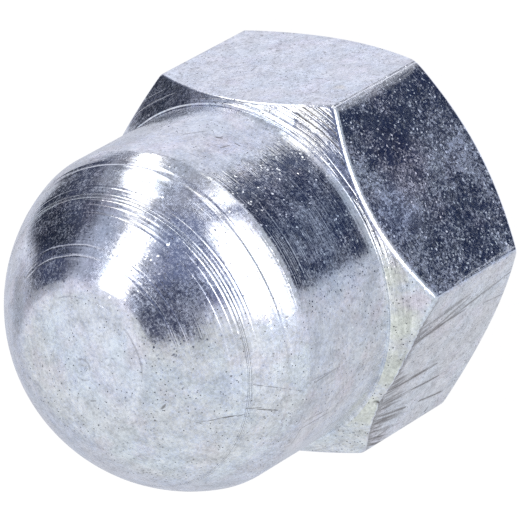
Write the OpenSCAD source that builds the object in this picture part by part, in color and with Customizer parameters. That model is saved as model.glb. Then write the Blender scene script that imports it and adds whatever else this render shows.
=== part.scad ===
// Cap nut: one turned piece. A hexagon carries a round collar that closes in a
// ball-shaped dome, and a blind threaded hole opens in the bearing face.
// The bearing face stands on z = 0 with the axis along +Z, and two corners of
// the hexagon lie on the X axis. All lengths are in millimetres.

/* [Hexagon] */
// Width across the wrench flats
across_flats = 9.85; // [9.7:0.05:13]
// Height of the hexagon, from the bearing face to the ledge at the collar's foot
hex_height = 5.1; // [4:0.1:7]
// Slope of the upper chamfer on the corners, from the horizontal
upper_chamfer_angle = 45; // [15:1:50]
// Slope of the chamfer around the bearing face, from the horizontal
bearing_chamfer_angle = 35; // [15:1:45]
// How far the round edge of the bearing face lies inside the flats
bearing_edge_inset = 0.075; // [0:0.025:0.5]

/* [Collar] */
// Diameter of the round collar above the hexagon
collar_diameter = 9.42; // [8:0.02:9.5]
// Width of the flat ledge between the collar and the upper chamfer
ledge_width = 0.08; // [0.02:0.02:0.12]
// Radius of the hollow fillet where the collar meets the ledge
foot_fillet_radius = 0.06; // [0.02:0.01:0.2]
// Radius of the rounded shoulder between the collar and the dome
shoulder_radius = 0.6; // [0.1:0.1:2]

/* [Dome] */
// Overall height, from the bearing face to the middle of the end face
overall_height = 11.9; // [11.2:0.1:15]
// How much the dome's ball radius is larger than the collar's radius
dome_radius_excess = 0.15; // [0.05:0.05:1]
// Diameter of the end face that closes the dome
end_face_diameter = 4.2; // [2:0.1:6]
// How far the middle of the end face stands above its edge
end_face_rise = 0.2; // [0.05:0.05:0.5]

/* [Threaded hole] */
// Nominal diameter of the thread
thread_diameter = 6; // [4:0.5:6.5]
// Pitch of the thread
thread_pitch = 1; // [0.5:0.05:1.25]
// Depth of the hole at its full width, from the bearing face
hole_depth = 8; // [5:0.1:8.6]
// Included angle of the drill point at the hole's end
drill_point_angle = 118; // [90:1:140]
// How far the countersink reaches past the thread's nominal radius
countersink_margin = 0.25; // [0.05:0.05:0.5]
// Included angle of the countersink at the hole's mouth
countersink_angle = 120; // [60:5:120]

/* [Hidden] */
zinc_plate = [0.78, 0.80, 0.84];

// Overlap that joins solids and carries cuts clear of faces
overlap = 0.5;
$fn = 180;

hex_sides = 6;
corner_radius = across_flats / 2 / cos(180 / hex_sides);
// The turned envelope is drawn a little past the corners that it trims
envelope_radius = corner_radius + overlap;

collar_radius = collar_diameter / 2;
ledge_radius = collar_radius + ledge_width;
bearing_radius = across_flats / 2 - bearing_edge_inset;
envelope_low_z = (envelope_radius - bearing_radius) * tan(bearing_chamfer_angle);
envelope_high_z = hex_height - (envelope_radius - ledge_radius) * tan(upper_chamfer_angle);

dome_radius = collar_radius + dome_radius_excess;
end_face_radius = end_face_diameter / 2;
end_edge_z = overall_height - end_face_rise;
dome_centre_z = end_edge_z - sqrt(pow(dome_radius, 2) - pow(end_face_radius, 2));
// The end face is a shallow cap of a large ball
end_ball_radius = (pow(end_face_radius, 2) + pow(end_face_rise, 2)) / (2 * end_face_rise);

// The shoulder's arc touches the collar's side and the dome from inside
shoulder_centre_r = collar_radius - shoulder_radius;
shoulder_reach = dome_radius - shoulder_radius;
shoulder_z = dome_centre_z + sqrt(pow(shoulder_reach, 2) - pow(shoulder_centre_r, 2));
shoulder_angle = acos(shoulder_centre_r / shoulder_reach);
dome_start_z = dome_centre_z + dome_radius * sin(shoulder_angle);

// The tapping hole leaves one pitch less than the thread's nominal diameter
bore_radius = (thread_diameter - thread_pitch) / 2;
drill_point_height = bore_radius / tan(drill_point_angle / 2);
countersink_radius = thread_diameter / 2 + countersink_margin;
countersink_depth = (countersink_radius - bore_radius) / tan(countersink_angle / 2);

// Half outline that the lathe leaves around the hexagon, with both chamfers
module hexagon_envelope_outline() {
    polygon([
        [0, 0],
        [bearing_radius, 0],
        [envelope_radius, envelope_low_z],
        [envelope_radius, envelope_high_z],
        [ledge_radius, hex_height],
        [0, hex_height]
    ]);
}

// Hexagon bar trimmed to its turned envelope
module hexagon() {
    intersection() {
        linear_extrude(height = hex_height) circle(r = corner_radius, $fn = hex_sides);
        rotate_extrude() hexagon_envelope_outline();
    }
}

// Small hollow fillet between the collar's side and the ledge
module foot_fillet_outline() {
    translate([collar_radius, hex_height]) difference() {
        square(foot_fillet_radius);
        translate([foot_fillet_radius, foot_fillet_radius]) circle(r = foot_fillet_radius);
    }
}

// Collar side up to the shoulder, with the rounded shoulder itself
module collar_outline() {
    foot_z = hex_height - overlap;
    translate([0, foot_z]) square([collar_radius, shoulder_z - foot_z]);
    translate([0, foot_z]) square([shoulder_centre_r, dome_start_z - foot_z]);
    translate([shoulder_centre_r, shoulder_z]) circle(r = shoulder_radius);
}

// Ball-shaped part of the dome, from the shoulder to the end face's edge
module dome_outline() {
    intersection() {
        translate([0, dome_centre_z]) circle(r = dome_radius);
        translate([0, dome_start_z]) square([dome_radius, end_edge_z - dome_start_z]);
    }
}

// Shallow cap that closes the dome
module end_face_outline() {
    intersection() {
        translate([0, overall_height - end_ball_radius]) circle(r = end_ball_radius);
        translate([0, end_edge_z]) square([end_face_radius, end_face_rise]);
    }
}

// Everything above the hexagon, turned about the axis
module collar_and_dome() {
    rotate_extrude() {
        foot_fillet_outline();
        collar_outline();
        dome_outline();
        end_face_outline();
    }
}

// Blind tapping hole with its countersunk mouth and drill point
module threaded_hole() {
    translate([0, 0, -overlap]) cylinder(r = bore_radius, h = hole_depth + overlap);
    rotate_extrude() polygon([
        [0, hole_depth],
        [bore_radius, hole_depth],
        [0, hole_depth + drill_point_height]
    ]);
    rotate_extrude() polygon([
        [0, -overlap],
        [countersink_radius + overlap * tan(countersink_angle / 2), -overlap],
        [bore_radius, countersink_depth],
        [0, countersink_depth]
    ]);
}

module cap_nut() {
    color(zinc_plate) difference() {
        union() {
            hexagon();
            collar_and_dome();
        }
        threaded_hole();
    }
}

cap_nut();
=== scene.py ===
"""Visual model of a zinc-plated hexagon cap nut: its turned shape, its finish and its studio."""

import logging
import math
from dataclasses import dataclass, field, replace
from enum import Enum
from functools import partial, reduce
from typing import Callable, Mapping, Optional, Sequence, Union

import bmesh
import bpy
from mathutils import Matrix, Vector, noise


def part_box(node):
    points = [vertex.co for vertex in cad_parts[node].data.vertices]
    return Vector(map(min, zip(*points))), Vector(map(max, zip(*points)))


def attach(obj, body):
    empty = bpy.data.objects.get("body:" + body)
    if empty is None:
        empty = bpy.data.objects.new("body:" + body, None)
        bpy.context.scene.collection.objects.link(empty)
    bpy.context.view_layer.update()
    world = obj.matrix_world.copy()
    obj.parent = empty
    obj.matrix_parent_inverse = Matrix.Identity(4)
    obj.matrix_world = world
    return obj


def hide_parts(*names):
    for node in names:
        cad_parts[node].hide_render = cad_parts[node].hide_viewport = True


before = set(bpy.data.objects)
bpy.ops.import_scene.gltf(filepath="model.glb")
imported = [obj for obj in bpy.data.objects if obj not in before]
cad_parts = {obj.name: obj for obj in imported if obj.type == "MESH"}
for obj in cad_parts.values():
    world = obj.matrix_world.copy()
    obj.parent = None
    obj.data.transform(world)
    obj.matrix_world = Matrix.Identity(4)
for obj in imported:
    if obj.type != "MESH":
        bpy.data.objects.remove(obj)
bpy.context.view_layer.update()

LOG = logging.getLogger("cap_nut")
NODE = "cap_nut"
PIECE = "cap_nut_body"
# Metres in a millimetre. All sizes below are in millimetres.
MM = 0.001
# Angle that one side of the hexagon takes
SECTOR = math.radians(60)
# Columns of the outer skin for each column of the hole and of the end face
COARSENING = 4
# Radius at which distances round the part are measured
AROUND_RADIUS = 4.9

Colour = tuple[float, float, float]
Tree = bpy.types.NodeTree
Socket = bpy.types.NodeSocket
Sockets = Mapping[str, Socket]
Input = Union[Socket, float, Sequence[float]]


class Zone(Enum):
    """A surface of the nut, numbered by its material slot."""

    BEARING = 0
    FLAT = 1
    CHAMFER = 2
    COLLAR = 3
    DOME = 4
    END_FACE = 5
    THREAD = 6
    CLEAN_FLAT = 7
    FRONT_FLAT = 8
    DRAGGED_FLAT = 9
    BROW = 10


# Directions that the marked flats face, in degrees round the axis
FACING = {Zone.CLEAN_FLAT: -30.0, Zone.FRONT_FLAT: -90.0, Zone.DRAGGED_FLAT: -150.0}
MARKED_SECTORS = {int(facing % 360 // 60): zone for zone, facing in FACING.items()}


# ---- Outlines


@dataclass(frozen=True)
class Station:
    """One point of the turned outline.

    Attributes:
        radius: distance from the axis.
        height: height above the bearing face.
        zone: zone of the band that follows the station.
        below_lip: distance below the burred lip, or below 0 where there is no lip.
    """

    radius: float
    height: float
    zone: Zone
    below_lip: float = -1.0


@dataclass(frozen=True)
class Corner:
    """A corner of an outline, and how the straight run after it is divided.

    Attributes:
        radius: distance from the axis.
        height: height above the bearing face.
        rounding: radius of the rounded corner.
        steps: segments in the rounded corner.
        zone: zone of the surface after the corner.
        cuts: places of extra stations on the run after the corner, as shares of its length.
        arc_zone: zone of the rounded corner, if it has one of its own.
    """

    radius: float
    height: float
    rounding: float
    steps: int
    zone: Zone
    cuts: tuple[float, ...] = ()
    arc_zone: Optional[Zone] = None

    @property
    def place(self) -> Vector:
        """Its radius and height."""
        return Vector((self.radius, self.height))

    @property
    def station(self) -> Station:
        """A station at the sharp corner."""
        return Station(self.radius, self.height, self.zone)


def even_cuts(count: int) -> tuple[float, ...]:
    """Shares that divide a run into equal parts, with count stations between its ends."""
    return starts(count + 1)[1:]


def starts(count: int) -> tuple[float, ...]:
    """Shares at which the equal parts of a run start."""
    return tuple(i / count for i in range(count))


def graded_cuts(count: int, power: float = 2.0) -> tuple[float, ...]:
    """Shares that crowd towards both ends of a run.

    Args:
        count: number of stations between the ends.
        power: how strongly the stations crowd.

    Returns:
        The shares, in order.
    """
    shares = []
    for share in even_cuts(count):
        near = min(share, 1 - share) * 2
        crowded = near**power / 2
        shares.append(crowded if share <= 0.5 else 1 - crowded)
    return tuple(shares)


def smooth(value: float, start: float, end: float) -> float:
    """Smooth step from 0 at start to 1 at end."""
    share = min(1.0, max(0.0, (value - start) / (end - start)))
    return share * share * (3 - 2 * share)


def polar(radius: float, angle: float, height: float) -> Vector:
    """A point from its distance to the axis, its angle and its height."""
    return Vector((radius * math.cos(angle), radius * math.sin(angle), height))


def angle_past(angle: float, facing: float) -> float:
    """Angle past a direction that is given in degrees, from minus to plus half a turn."""
    offset = angle - math.radians(facing)
    return math.atan2(math.sin(offset), math.cos(offset))


def station_at(point: Vector, zone: Zone) -> Station:
    """A station at a radius and height."""
    return Station(point.x, point.y, zone)


def rounded_outline(corners: Sequence[Corner]) -> list[Station]:
    """Turns a list of corners into stations, with each inner corner rounded.

    Args:
        corners: the corners in order. The first and the last stay as they are.

    Returns:
        The stations along the outline.
    """
    stations = [corners[0].station]
    run_start = corners[0].place
    for before, corner, after in zip(corners, corners[1:], corners[2:]):
        here = corner.place
        back = (before.place - here).normalized()
        ahead = (after.place - here).normalized()
        half_angle = back.angle(ahead) / 2
        tangent = corner.rounding / math.tan(half_angle)
        first, last = here + back * tangent, here + ahead * tangent
        stations += run_stations(run_start, first, before)
        centre = here + (back + ahead).normalized() * (corner.rounding / math.sin(half_angle))
        for step in range(corner.steps + 1):
            zone = corner.arc_zone if corner.arc_zone and step < corner.steps else corner.zone
            arm = turned_arm(first - centre, last - centre, step / corner.steps)
            stations.append(station_at(centre + arm, zone))
        run_start = last
    return [*stations, *run_stations(run_start, corners[-1].place, corners[-2]), corners[-1].station]


def turned_arm(first: Vector, last: Vector, share: float) -> Vector:
    """An arm of an arc, turned evenly from its first towards its last position."""
    turn = first.angle(last)
    return (first * math.sin((1 - share) * turn) + last * math.sin(share * turn)) / math.sin(turn)


def run_stations(start: Vector, end: Vector, corner: Corner) -> list[Station]:
    """The extra stations on the straight run after a corner."""
    return [station_at(start.lerp(end, cut), corner.zone) for cut in corner.cuts]


def arc_stations(centre: Vector, radius: float, angles: Sequence[float], zone: Zone) -> list[Station]:
    """Stations on an arc, at angles above the horizontal in radians."""
    return [
        Station(centre.x + radius * math.cos(angle), centre.y + radius * math.sin(angle), zone)
        for angle in angles
    ]


# ---- Sub-assemblies


@dataclass(frozen=True)
class BurredEdge:
    """The ragged lip that the turning tool pushed over the front edge of one flat.

    Attributes:
        facing: direction that the flat faces, in degrees.
        swell: overhang of the lip's thick stretch.
        swell_middle: middle of the thick stretch, from the flat's middle.
        swell_half: half the length of the thick stretch.
        tail: overhang of the thin stretch.
        tail_start: where the thin stretch takes over.
        tail_blend: length over which it takes over.
        tail_end: where the thin stretch ends.
        tail_fade: length over which it ends.
        tooth: half the length of one tooth.
        tooth_depth: how far the teeth stand out.
        tooth_row: where the row of teeth lies in the noise.
    """

    facing: float = FACING[Zone.DRAGGED_FLAT]
    swell: float = 0.125
    swell_middle: float = 0.75
    swell_half: float = 1.25
    tail: float = 0.045
    tail_start: float = -0.4
    tail_blend: float = 0.5
    tail_end: float = -2.75
    tail_fade: float = 0.4
    tooth: float = 0.1
    tooth_depth: float = 0.022
    tooth_row: tuple[float, float] = (3.1, 0.7)

    def along(self, angle: float, apothem: float) -> Optional[float]:
        """Distance along the burred flat from its middle, or None on the other flats."""
        offset = angle_past(angle, self.facing)
        return apothem * math.tan(offset) if abs(offset) < SECTOR / 2 else None

    def overhang(self, along: Optional[float]) -> float:
        """How far the lip stands out past the flat.

        Args:
            along: place along the burred flat, or None on the other flats.

        Returns:
            The overhang.
        """
        if along is None:
            return 0.0
        swell = self.swell * math.exp(-(abs(along - self.swell_middle) / self.swell_half) ** 3)
        tail = self.tail * smooth(along, self.tail_start, self.tail_start - self.tail_blend)
        lip = swell + tail * smooth(along, self.tail_end, self.tail_end + self.tail_fade)
        teeth = self.tooth_depth * noise.noise(Vector((along / self.tooth, *self.tooth_row)))
        return max(0.0, lip + teeth * min(1.0, lip / self.tail))


@dataclass(frozen=True)
class Hexagon:
    """The wrench hexagon, from its bearing face to the ledge at the collar's foot.

    Attributes:
        across_flats: width across the flats.
        height: height of the ledge.
        mouth_rim_radius: radius at which the bearing face meets the hole's mouth.
        bearing_radius: outer radius of the bearing face.
        bearing_rounding: rounding of the bearing face's edge.
        bearing_slope: steepness of the chamfer around the bearing face.
        foot_rounding: rounding between that chamfer and a flat.
        ledge_radius: outer radius of the ledge.
        ledge_rounding: rounding of the ledge's edge.
        ledge_inner_radius: radius at which the ledge meets the collar's fillet.
        corner_rounding: rounding of the six corners.
        corner_wear: how far the corners are worn back.
        wear_reach: distance over which the wear dies out.
        worn_corner: number of the corner that is worn most.
        extra_wear: how much more it is worn.
        brow_rounding: rounding of the edge between a flat and the chamfer.
        crisp_flat: direction of the flat whose edge is crisper, in degrees.
        crispness: how much crisper that edge is.
        lip_crispness: how much crisper the burred lip is.
        full_lip: overhang from which the lip is that crisp.
        lip_foot: height of the lip's foot.
        shelter: how much of the flat the lip hides, as a multiple of its overhang; the painted shade band
            under the lip covers this part fully.
        burr: the burred lip.
    """

    across_flats: float
    height: float = 5.1
    mouth_rim_radius: float = 3.45
    bearing_radius: float = 4.85
    bearing_rounding: float = 0.03
    bearing_slope: float = math.tan(math.radians(35))
    foot_rounding: float = 0.08
    ledge_radius: float = 4.79
    ledge_rounding: float = 0.015
    ledge_inner_radius: float = 4.782
    corner_rounding: float = 0.12
    corner_wear: float = 0.018
    wear_reach: float = 0.12
    worn_corner: int = 5
    extra_wear: float = 1.2
    brow_rounding: float = 0.27
    crisp_flat: float = FACING[Zone.CLEAN_FLAT]
    crispness: float = 0.5
    lip_crispness: float = 0.8
    full_lip: float = 0.05
    lip_foot: float = 0.09
    shelter: float = 3.0
    burr: BurredEdge = BurredEdge()

    @property
    def apothem(self) -> float:
        """Half the width across flats."""
        return self.across_flats / 2

    @property
    def rounding_centre(self) -> float:
        """Distance from the axis to the centre of a corner's rounding."""
        return (self.apothem - self.corner_rounding) / math.cos(SECTOR / 2)

    @property
    def rounding_angle(self) -> float:
        """Angle from a corner to where its rounding meets the flat."""
        along = self.rounding_centre + self.corner_rounding * math.cos(SECTOR / 2)
        return math.atan2(self.corner_rounding * math.sin(SECTOR / 2), along)

    def side_radius(self, angle: float) -> float:
        """Distance from the axis to the hexagon's side.

        Args:
            angle: angle round the axis from one of the corners, in radians.

        Returns:
            The distance.
        """
        offset = abs((angle + SECTOR / 2) % SECTOR - SECTOR / 2)
        from_middle = SECTOR / 2 - offset
        from_corner = self.apothem * (math.tan(SECTOR / 2) - math.tan(from_middle))
        nearest = round(math.degrees(angle) / 60) % 6
        softness = 1 + self.extra_wear * (nearest == self.worn_corner)
        worn = self.corner_wear * softness * math.exp(-from_corner / self.wear_reach)
        if offset >= self.rounding_angle:
            return (self.apothem - worn) / math.cos(from_middle)
        centre = self.rounding_centre
        reach = self.corner_rounding**2 - (centre * math.sin(offset)) ** 2
        return centre * math.cos(offset) + math.sqrt(reach) - worn / math.cos(from_middle)

    def outline(self, angle: float) -> list[Station]:
        """The hexagon's outline at one angle.

        Args:
            angle: angle round the axis, in radians.

        Returns:
            Stations from the bearing face to the ledge.
        """
        side = self.side_radius(angle)
        along = self.burr.along(angle, self.apothem)
        lip = self.burr.overhang(along)
        foot = (side - self.bearing_radius) * self.bearing_slope
        brow = self.height - (side + lip - self.ledge_radius)
        soft_brow = self.brow_radius(angle, lip)
        stations = rounded_outline([
            Corner(self.mouth_rim_radius, 0, 0, 1, Zone.BEARING, even_cuts(3)),
            Corner(self.bearing_radius, 0, self.bearing_rounding, 3, Zone.BEARING, even_cuts(2)),
            Corner(side, foot, self.foot_rounding, 4, Zone.FLAT, graded_cuts(11)),
            Corner(side + lip, brow, soft_brow, 6, Zone.CHAMFER, even_cuts(7), Zone.BROW),
            Corner(self.ledge_radius, self.height, self.ledge_rounding, 2, Zone.COLLAR),
            Corner(self.ledge_inner_radius, self.height, 0, 1, Zone.COLLAR),
        ])
        if along is None:
            return stations
        return [self.below_the_lip(station, side, brow, lip) for station in stations]

    @staticmethod
    def zone_at(angle: float, zone: Zone) -> Zone:
        """The zone at an angle: three flats have one of their own in place of the common one."""
        return MARKED_SECTORS.get(int(angle % math.tau / SECTOR), zone) if zone is Zone.FLAT else zone

    def brow_radius(self, angle: float, lip: float) -> float:
        """Rounding of the edge between a flat and the chamfer.

        Args:
            angle: angle round the axis, in radians.
            lip: overhang of the burred lip there.

        Returns:
            The radius.
        """
        offset = abs(math.degrees(angle_past(angle, self.crisp_flat)))
        crisp = self.crispness * smooth(offset, 32, 26)
        thin = self.lip_crispness * min(1.0, lip / self.full_lip)
        return self.brow_rounding * (1 - max(crisp, thin))

    def below_the_lip(self, station: Station, side: float, brow: float, lip: float) -> Station:
        """Keeps the flat flat up to the foot of the lip, and notes the distance below the lip.

        Args:
            station: a station of the outline.
            side: radius of the flat.
            brow: height of the lip's tip.
            lip: overhang of the lip.

        Returns:
            The station in its place.
        """
        radius = station.radius
        if station.zone is Zone.FLAT and radius > side:
            radius = side + (radius - side) * smooth(station.height, brow - self.lip_foot, brow)
        below = brow - station.height - self.shelter * lip
        return replace(station, radius=radius, below_lip=max(0.0, below))


@dataclass(frozen=True)
class Collar:
    """The round collar above the hexagon, with its foot fillet and its shoulder.

    Attributes:
        foot: height of the ledge that it stands on.
        radius: radius of its wall.
        flare: how much wider it is at its foot.
        flare_height: height of the flare.
        foot_fillet: radius of the fillet at its foot.
        shoulder_rounding: radius of its shoulder.
        shoulder_height: height at which the shoulder starts.
        shoulder_angle: angle that the shoulder turns through, up to the dome.
    """

    foot: float
    radius: float = 4.71
    flare: float = 0.024
    flare_height: float = 0.3
    foot_fillet: float = 0.02
    shoulder_rounding: float = 0.6
    shoulder_height: float = 8.437
    shoulder_angle: float = math.radians(15.25)

    def outline(self) -> list[Station]:
        """The collar's outline.

        Returns:
            Stations from the foot fillet to the start of the dome.
        """
        start = self.foot + self.foot_fillet
        fillet_centre = Vector((self.radius + self.flare + self.foot_fillet, start))
        turns = [math.radians(270 - 90 * (i + 1) / 4) for i in range(3)]
        stations = arc_stations(fillet_centre, self.foot_fillet, turns, Zone.COLLAR)
        for share in starts(7):
            radius = self.radius + self.flare * (1 - share) ** 2
            stations.append(Station(radius, start + self.flare_height * share, Zone.COLLAR))
        start += self.flare_height
        climb = self.shoulder_height - start
        stations += [Station(self.radius, start + climb * share, Zone.COLLAR) for share in starts(10)]
        centre = Vector((self.radius - self.shoulder_rounding, self.shoulder_height))
        turns = [self.shoulder_angle * i / 4 for i in range(4)]
        return stations + arc_stations(centre, self.shoulder_rounding, turns, Zone.DOME)


@dataclass(frozen=True)
class Groove:
    """A line that the turning tool left round the dome.

    Attributes:
        inclination: its place above the dome's equator, in degrees.
        width: width of the cut.
        depth: depth of the cut.
        lip: height of the lip that the cut threw up on its upper side.
        wander: how far the line strays from a true circle, in degrees.
    """

    inclination: float
    width: float
    depth: float
    lip: float = 0.0
    wander: float = 0.0

    def line(self, angle: float) -> float:
        """Inclination of the groove at an angle round the axis, in degrees."""
        stray = math.sin(3 * angle + 0.9) + 0.6 * math.sin(5 * angle + self.inclination)
        return self.inclination + self.wander * stray


@dataclass(frozen=True)
class Dome:
    """The ball-shaped dome with its turned grooves and its slightly raised end face.

    Attributes:
        height: overall height of the nut.
        start: inclination at which the shoulder hands over to the ball, in radians.
        radius: radius of the ball.
        centre: height of the ball's centre.
        end_face_radius: radius of the end face.
        end_face_rise: how far its middle stands above its edge.
        edge_softness: degrees over which the ball bends into the end face.
        face_rings: radii of the rings of vertices on the end face.
        grooved_side: direction in which the grooves are deepest, in degrees.
        faintest: depth of the grooves on the other side, as a share of the full depth.
        profile: stations across a groove, in half widths, with the share of its lip or, below 0, its depth.
            The last one is where the plain ball starts again.
        wide_run: degrees between grooves from which the ball gets more stations.
        grooves: the grooves, from the lowest up.
    """

    height: float
    start: float
    radius: float = 4.86
    centre: float = 7.317
    end_face_radius: float = 2.1
    end_face_rise: float = 0.2
    edge_softness: float = 2.6
    face_rings: tuple[float, ...] = (
        1.8, 1.6, 1.4, 1.2, 1.0, 0.85, 0.7, 0.55, 0.42, 0.34, 0.28, 0.24, 0.2, 0.16, 0.12, 0.08, 0.04
    )
    grooved_side: float = -62.0
    faintest: float = 0.15
    profile: tuple[tuple[float, float], ...] = ((-2.2, 0), (-1.1, 0), (0, -1), (0.9, 0), (1.6, 1), (2.4, 0))
    wide_run: float = 5.0
    grooves: tuple[Groove, ...] = (
        Groove(21.3, 0.12, 0.024, 0.01, 0.45),
        Groove(31.3, 0.05, 0.008, 0.003),
        Groove(33.7, 0.05, 0.006, 0.002),
        Groove(34.7, 0.06, 0.007, 0.002),
        Groove(35.8, 0.07, 0.009, 0.003),
        Groove(37.6, 0.06, 0.006, 0.002),
        Groove(40.3, 0.07, 0.008, 0.002),
        Groove(49.5, 0.04, 0.003),
        Groove(51.4, 0.05, 0.009, 0.003),
        Groove(54.7, 0.06, 0.012, 0.004),
    )

    @property
    def edge_start(self) -> float:
        """Inclination at which the ball starts to bend into the end face, in degrees."""
        return math.degrees(math.acos(self.end_face_radius / self.radius)) - self.edge_softness

    @property
    def end_ball_radius(self) -> float:
        """Radius of the flat ball that the end face belongs to."""
        return (self.end_face_radius**2 + self.end_face_rise**2) / (2 * self.end_face_rise)

    def side_outline(self, angle: float) -> list[Station]:
        """The dome's flank, with a close set of stations across each groove.

        Args:
            angle: angle round the axis, in radians.

        Returns:
            Stations from the shoulder to just below the end face.
        """
        stations = []
        below = math.degrees(self.start)
        towards_cut = math.cos(angle - math.radians(self.grooved_side))
        strength = self.faintest + (1 - self.faintest) * smooth(towards_cut, -0.1, 0.6)
        for groove in self.grooves:
            line = groove.line(angle)
            half = math.degrees(groove.width / 2 / self.radius)
            count = 4 if groove.inclination - below > self.wide_run else 2
            stations += self.side_run(below, line + self.profile[0][0] * half, count)
            for place, share in self.profile[:-1]:
                offset = groove.depth * share if share < 0 else groove.lip * share
                stations.append(self.station(line + place * half, offset * strength))
            below = line + self.profile[-1][0] * half
        return stations + self.side_run(below, self.edge_start, 5)

    def side_run(self, first: float, last: float, count: int) -> list[Station]:
        """Even stations on the ball from one inclination towards another, in degrees."""
        return [self.station(first + (last - first) * share, 0.0) for share in starts(count)]

    def station(self, inclination: float, offset: float) -> Station:
        """A station on the ball, at an inclination in degrees and a height above its surface."""
        turn, reach = math.radians(inclination), self.radius + offset
        return Station(reach * math.cos(turn), self.centre + reach * math.sin(turn), Zone.DOME)

    def face_height(self, reach: float) -> float:
        """Height of the end face at a distance from the axis, without the tool's dimple."""
        return self.height - self.end_ball_radius + math.sqrt(self.end_ball_radius**2 - reach**2)

    def edge_outline(self) -> list[Station]:
        """The softened edge of the end face.

        Returns:
            Stations from the ball to the end face.
        """
        below = self.station(self.edge_start, 0.0)
        start = Vector((below.radius, below.height))
        corner = Vector((self.end_face_radius, self.height - self.end_face_rise))
        end = Vector((self.face_rings[0], self.face_height(self.face_rings[0])))
        points = [start.lerp(corner, share).lerp(corner.lerp(end, share), share) for share in starts(8)]
        return [station_at(point, Zone.END_FACE) for point in points]

    def face_outline(self) -> list[Station]:
        """Stations over the end face, from its softened edge to near its middle."""
        return [
            Station(reach, self.face_height(reach) - self.pip(reach), Zone.END_FACE)
            for reach in self.face_rings
        ]

    @staticmethod
    def pip(reach: float) -> float:
        """Depth of the tool's last dimple at a distance from the middle of the end face."""
        return 0.018 * math.exp(-((reach / 0.13) ** 2)) + 0.006 * math.exp(-(((reach - 0.3) / 0.06) ** 2))


@dataclass(frozen=True)
class ThreadedHole:
    """The blind hole: countersink, right-hand thread, run-out and drill point.

    Attributes:
        thread_radius: radius of the thread's root.
        bore_radius: radius of the tapping hole, and of the thread's crest.
        pitch: pitch of the thread.
        depth: depth of the hole at its full width.
        mouth_radius: radius of the countersink at the bearing face.
        countersink_slope: how fast the countersink narrows.
        drill_half_angle: half the drill point's angle.
        full_thread: depth down to which the thread is full.
        run_out_margin: distance from the thread's end to the end of the hole.
        phases: places of the rows of vertices in each turn, from the middle of the thread's crest.
        clear_ends: pitches at both ends of the hole that are kept free of rows.
        point_rings: radii of the rings of vertices on the drill point.
    """

    thread_radius: float = 3.0
    bore_radius: float = 2.5
    pitch: float = 1.0
    depth: float = 8.0
    mouth_radius: float = 3.25
    countersink_slope: float = math.tan(math.radians(60))
    drill_half_angle: float = math.radians(59)
    full_thread: float = 6.9
    run_out_margin: float = 0.15
    phases: tuple[float, ...] = (0, 0.135, 0.16, 0.29, 0.42, 0.45, 0.5, 0.55, 0.58, 0.71, 0.84, 0.865)
    clear_ends: float = 0.02
    point_rings: tuple[float, ...] = (1.9, 1.3, 0.7, 0.25)

    def form(self, phase: float) -> float:
        """Radius of the thread form.

        Args:
            phase: place in the thread form, in pitches from the middle of the crest.

        Returns:
            The radius.
        """
        root_half = self.pitch / 16
        flank = (self.thread_radius - self.bore_radius) * math.tan(math.radians(30))
        away = abs(phase % 1 - 0.5) * self.pitch
        share = min(1.0, max(0.0, (away - root_half) / flank))
        return self.thread_radius + (self.bore_radius - self.thread_radius) * share

    def radius_at(self, height: float, phase: float) -> float:
        """Radius of the hole.

        Args:
            height: depth into the hole from its mouth.
            phase: place in the thread form, where 0 is the middle of the crest.

        Returns:
            The radius.
        """
        fade = 1 - smooth(height, self.full_thread, self.depth - self.run_out_margin)
        threaded = self.bore_radius + (self.form(phase) - self.bore_radius) * fade
        return max(threaded, self.mouth_radius - height * self.countersink_slope)

    def column(self, turn: float) -> list[tuple[int, float]]:
        """The thread rows that cross a column.

        Args:
            turn: the column's angle as a share of a full turn.

        Returns:
            The number and the height of each row, from the mouth up.
        """
        rows = []
        margin = self.clear_ends * self.pitch
        count = len(self.phases)
        for number in range(-count, int(self.depth / self.pitch + 1) * count):
            height = self.pitch * (number // count + self.phases[number % count] + turn)
            if margin < height < self.depth - margin:
                rows.append((number, height))
        return rows

    def point_outline(self) -> list[Station]:
        """Stations of the drill point, from the end of the bore towards its tip."""
        return [Station(reach, self.point_height(reach), Zone.THREAD) for reach in self.point_rings]

    def point_height(self, reach: float) -> float:
        """Height of the drill point at a distance from the axis."""
        return self.depth + (self.bore_radius - reach) / math.tan(self.drill_half_angle)


@dataclass(frozen=True)
class Dent:
    """A knock that pushed the surface in.

    Attributes:
        place: the middle of the dent.
        radius: how far it reaches.
        depth: how deep it is.
        push: direction of the push.
        roughness: how uneven its depth is.
        lumps: unevennesses per millimetre.
    """

    place: Vector
    radius: float
    depth: float
    push: Vector
    roughness: float = 0.5
    lumps: float = 18

    def moved(self, point: Vector) -> Vector:
        """Where a point lies after the knock.

        Args:
            point: where it was.

        Returns:
            Where it is.
        """
        share = (point - self.place).length / self.radius
        if share >= 1:
            return point
        rough = 1 + self.roughness * noise.noise(point * self.lumps)
        return point + self.push.normalized() * (self.depth * rough * (1 - share * share) ** 2)


# ---- Mesh


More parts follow.
